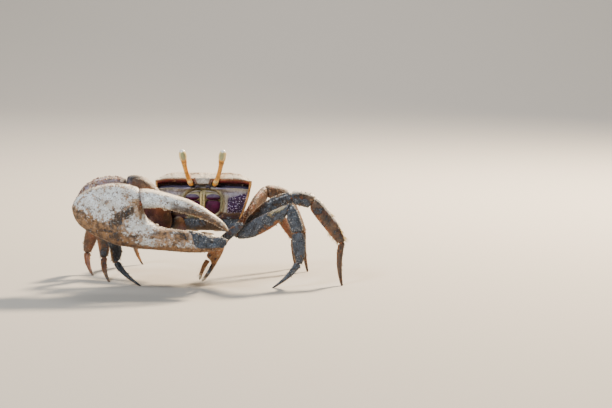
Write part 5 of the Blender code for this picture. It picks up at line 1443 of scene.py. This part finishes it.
def makeLeg(number, name, size, kind, places):
    way = 1 if "left" in name else -1
    chain = [np.array([body["front"][0] + way * x, body["front"][1] + y, z]) for x, y, z in places]
    heading = unit((chain[2] - chain[1]) * (1, 1, 0))
    side = np.array([-heading[1], heading[0], 0.0])
    normals = jointNormals(chain)
    normals[-1] = np.array([0, 0, -1.0])
    skinKind, slotName = (rustCrust, "leg_orange") if kind == "rust" else (mudCrust, "leg_muddy")
    rng = np.random.default_rng(300 + number)
    quarter, columns = limb["columns"] // 4, limb["columns"]
    ends, tufts, pins = [], [], []
    for k, (part, (height, thick, bow)) in enumerate(legParts.items()):
        seed = 310 + 10 * number + k
        bow = -0.6 if (name, part) == ("leg_left_1", "merus") else bow  # held nearly straight
        grid, place, across, _ = segmentGrid(chain[k], chain[k + 1], side, profiles[part], height * size,
                                             thick * size, bow * size, normals[k], normals[k + 1], 90)
        level = np.broadcast_to(ringShape(columns, limb["power"])[1], place.shape)
        foot = part == "dactylus"
        if foot:  # fluted like a horn: radius * (1 - 0.13 |sin 3 angle|^0.7), with its tip on the floor
            middle = grid.mean(1, keepdims=True)
            flute = 1 - 0.13 * np.abs(np.sin(3 * np.arange(columns) * 2 * np.pi / columns)) ** 0.7
            grid = middle + (grid - middle) * flute[:, None]
            grid[-1, :, 2] = 0.0
            grid[..., 2] = np.maximum(grid[..., 2], 0.0)
        layers, mud, wear = legLayers(name, kind, part, grid, place, level)
        out = gridNormals(grid)
        if not foot:
            caked = name == "leg_right_1" and part in ("carpus", "propodus")
            heavy = limb["crust"][kind] * (1.7 if caked else 1.0)
            rugae = 0.025 * np.sin(place * 90 + 3 * lumps(grid, 2.0, seed)) * rise(level, -0.6, 0.6)
            rugae = rugae * (kind != "clay")
            uneven = heavy * lumps(grid, 1.7, seed) + 0.5 * heavy * lumps(grid, 0.7, seed + 5)
            grid = grid + out * (uneven + rugae)[..., None]
        tint, look = painted(place.shape, *layers), looks(place.shape, mud, wear, 0.4)
        bits = [skin(grid, tint, look)]
        if part != "base" and not foot:
            crest = "stone" if kind == "clay" else "cream"
            lines = ((quarter, 22, 0.1, 0.24, crest), (quarter - 3, 16, 0.08, 0.16, "tan"),
                     (3 * quarter, 16, 0.08, 0.2, "tan"))
            for column, count, low, high, colour in lines:
                bits.append(edgeStuds(grid, out, place, column, count, low * size, high * size, colour,
                                      seed + column))
        bits.append(sprinkled(grid, out, (tint, look), 1.0, seed, (0.06, 0.13), limb["grit"][kind], 0.3,
                              place < (0.4 if foot else 0.99), 0.7, rng))
        putPiece(f"{name}_{part}_shell", bits, skinKind, slotName, f"{name}_{part}")
        ends.append((grid[0], grid[-1]))
        if part != "base":
            tufts += legTufts(rng, name, kind, part, grid, out, unit(chain[k + 1] - chain[k]))
        if not foot:
            for turn in (1, -1):
                knob = turn * unit(across)
                pins.append((chain[k + 1] + knob * thick * size * 0.36, knob, 0.36 * size))
    at, out, sizes = (np.array(column) for column in zip(*pins))
    knuckles = grains(at, out, sizes, solid("rust", 0.7), (0.3 if kind == "clay" else 0, 0, 0), 1.0, 0.2)
    putPiece(f"{name}_joints", [*bridges(ends, 0.86, 0.5), knuckles], jointSkin, slotName)
    for tuft in tufts:
        tuft["at"][:, 2] = np.maximum(tuft["at"][:, 2], 0.02)
    putPiece(f"{name}_hair", tufts, bristle, "setae")


for number, (name, (size, kind, places)) in enumerate(legs.items()):
    makeLeg(number, name, size, kind, places)
print("legs")

# stage: a floor bending up into a wall, warm light from the right rear, soft light in front, two on the wall
stage = {"floor": "a39e97", "back": 0.9, "sweep": 0.9, "half": 3.0, "near": -2.5, "top": 2.5, "rough": 0.85,
         "air": ((0.86, 0.85, 0.84, 1), 0.14),
         "lights": (  # name, place, size, power, colour and the point that it is turned to, in metres
             ("sunSide", (0.3, 0.34, 0.42), 0.1, 20.0, (1.0, 0.8, 0.56), (0.0, 0.0, 0.025)),
             ("skyFront", (-0.35, -0.6, 0.62), 0.26, 9.5, (0.9, 0.96, 1.0), (0.0, 0.0, 0.025)),
             ("backGlow", (0.0, 0.6, 1.1), 0.8, 16.0, (1.0, 0.97, 0.93), (0.0, 1.3, 0.025)),
             ("wallWash", (0.0, 0.45, 0.95), 1.0, 9.0, (1.0, 0.95, 0.9), (0.0, 1.6, 0.42)))}
view = {"lens": 100.0, "target": np.array([0.0, 0.0, 30.0]), "away": 613.7, "turn": math.radians(6),
        "rise": math.radians(7), "shift": (0.1683, -0.001), "nearest": 0.01}


def makeStage():
    bend = np.linspace(0, np.pi / 2, 24)  # flat, then a quarter circle up into a plain wall behind
    wall = stage["back"] + stage["sweep"]
    line = np.vstack([[(stage["near"], 0.0)],
                      np.stack([stage["back"] + stage["sweep"] * np.sin(bend),
                                stage["sweep"] * (1 - np.cos(bend))], -1), [(wall, stage["top"])]])
    corners = [(side * stage["half"], y, z) for y, z in line for side in (-1, 1)]
    mesh = bpy.data.meshes.new("floor")
    mesh.from_pydata(corners, [], [(2 * k, 2 * k + 1, 2 * k + 3, 2 * k + 2) for k in range(len(line) - 1)])
    mesh.polygons.foreach_set("use_smooth", np.ones(len(mesh.polygons), bool))
    material = bpy.data.materials.new("floorPaint")
    material.use_nodes = True
    surface = material.node_tree.nodes["Principled BSDF"]
    surface.inputs["Base Color"].default_value = (*rgb(stage["floor"]), 1)
    surface.inputs["Roughness"].default_value = stage["rough"]
    mesh.materials.append(material)
    placed("floor", mesh)
    world = bpy.data.worlds.new("studio")
    world.use_nodes = True
    background = world.node_tree.nodes["Background"].inputs
    background[0].default_value, background[1].default_value = stage["air"]
    bpy.context.scene.world = world
    for name, place, size, power, colour, aim in stage["lights"]:
        light = bpy.data.lights.new(name, "AREA")
        light.shape, light.size, light.energy, light.color = "DISK", size, power, colour
        lamp = placed(name, light)
        lamp.location = place
        lamp.rotation_euler = Vector(np.subtract(aim, place)).to_track_quat("-Z", "Y").to_euler()


def makeCamera():  # away from the target by a turn and a rise, looking back at it
    turn, up = view["turn"], view["rise"]
    away = np.array([math.cos(up) * math.sin(turn), -math.cos(up) * math.cos(turn), math.sin(up)])
    target = (body["front"] * (1, 1, 0) + view["target"]) * millimetre
    data = bpy.data.cameras.new("camera")
    data.lens, data.sensor_width = view["lens"], 36.0
    data.shift_x, data.shift_y = view["shift"]
    data.clip_start = view["nearest"]
    camera = placed("camera", data)
    camera.location = target + away * view["away"] * millimetre
    camera.rotation_euler = (math.pi / 2 - up, 0, turn)
    bpy.context.scene.camera = camera


makeStage()
makeCamera()
print("stage")
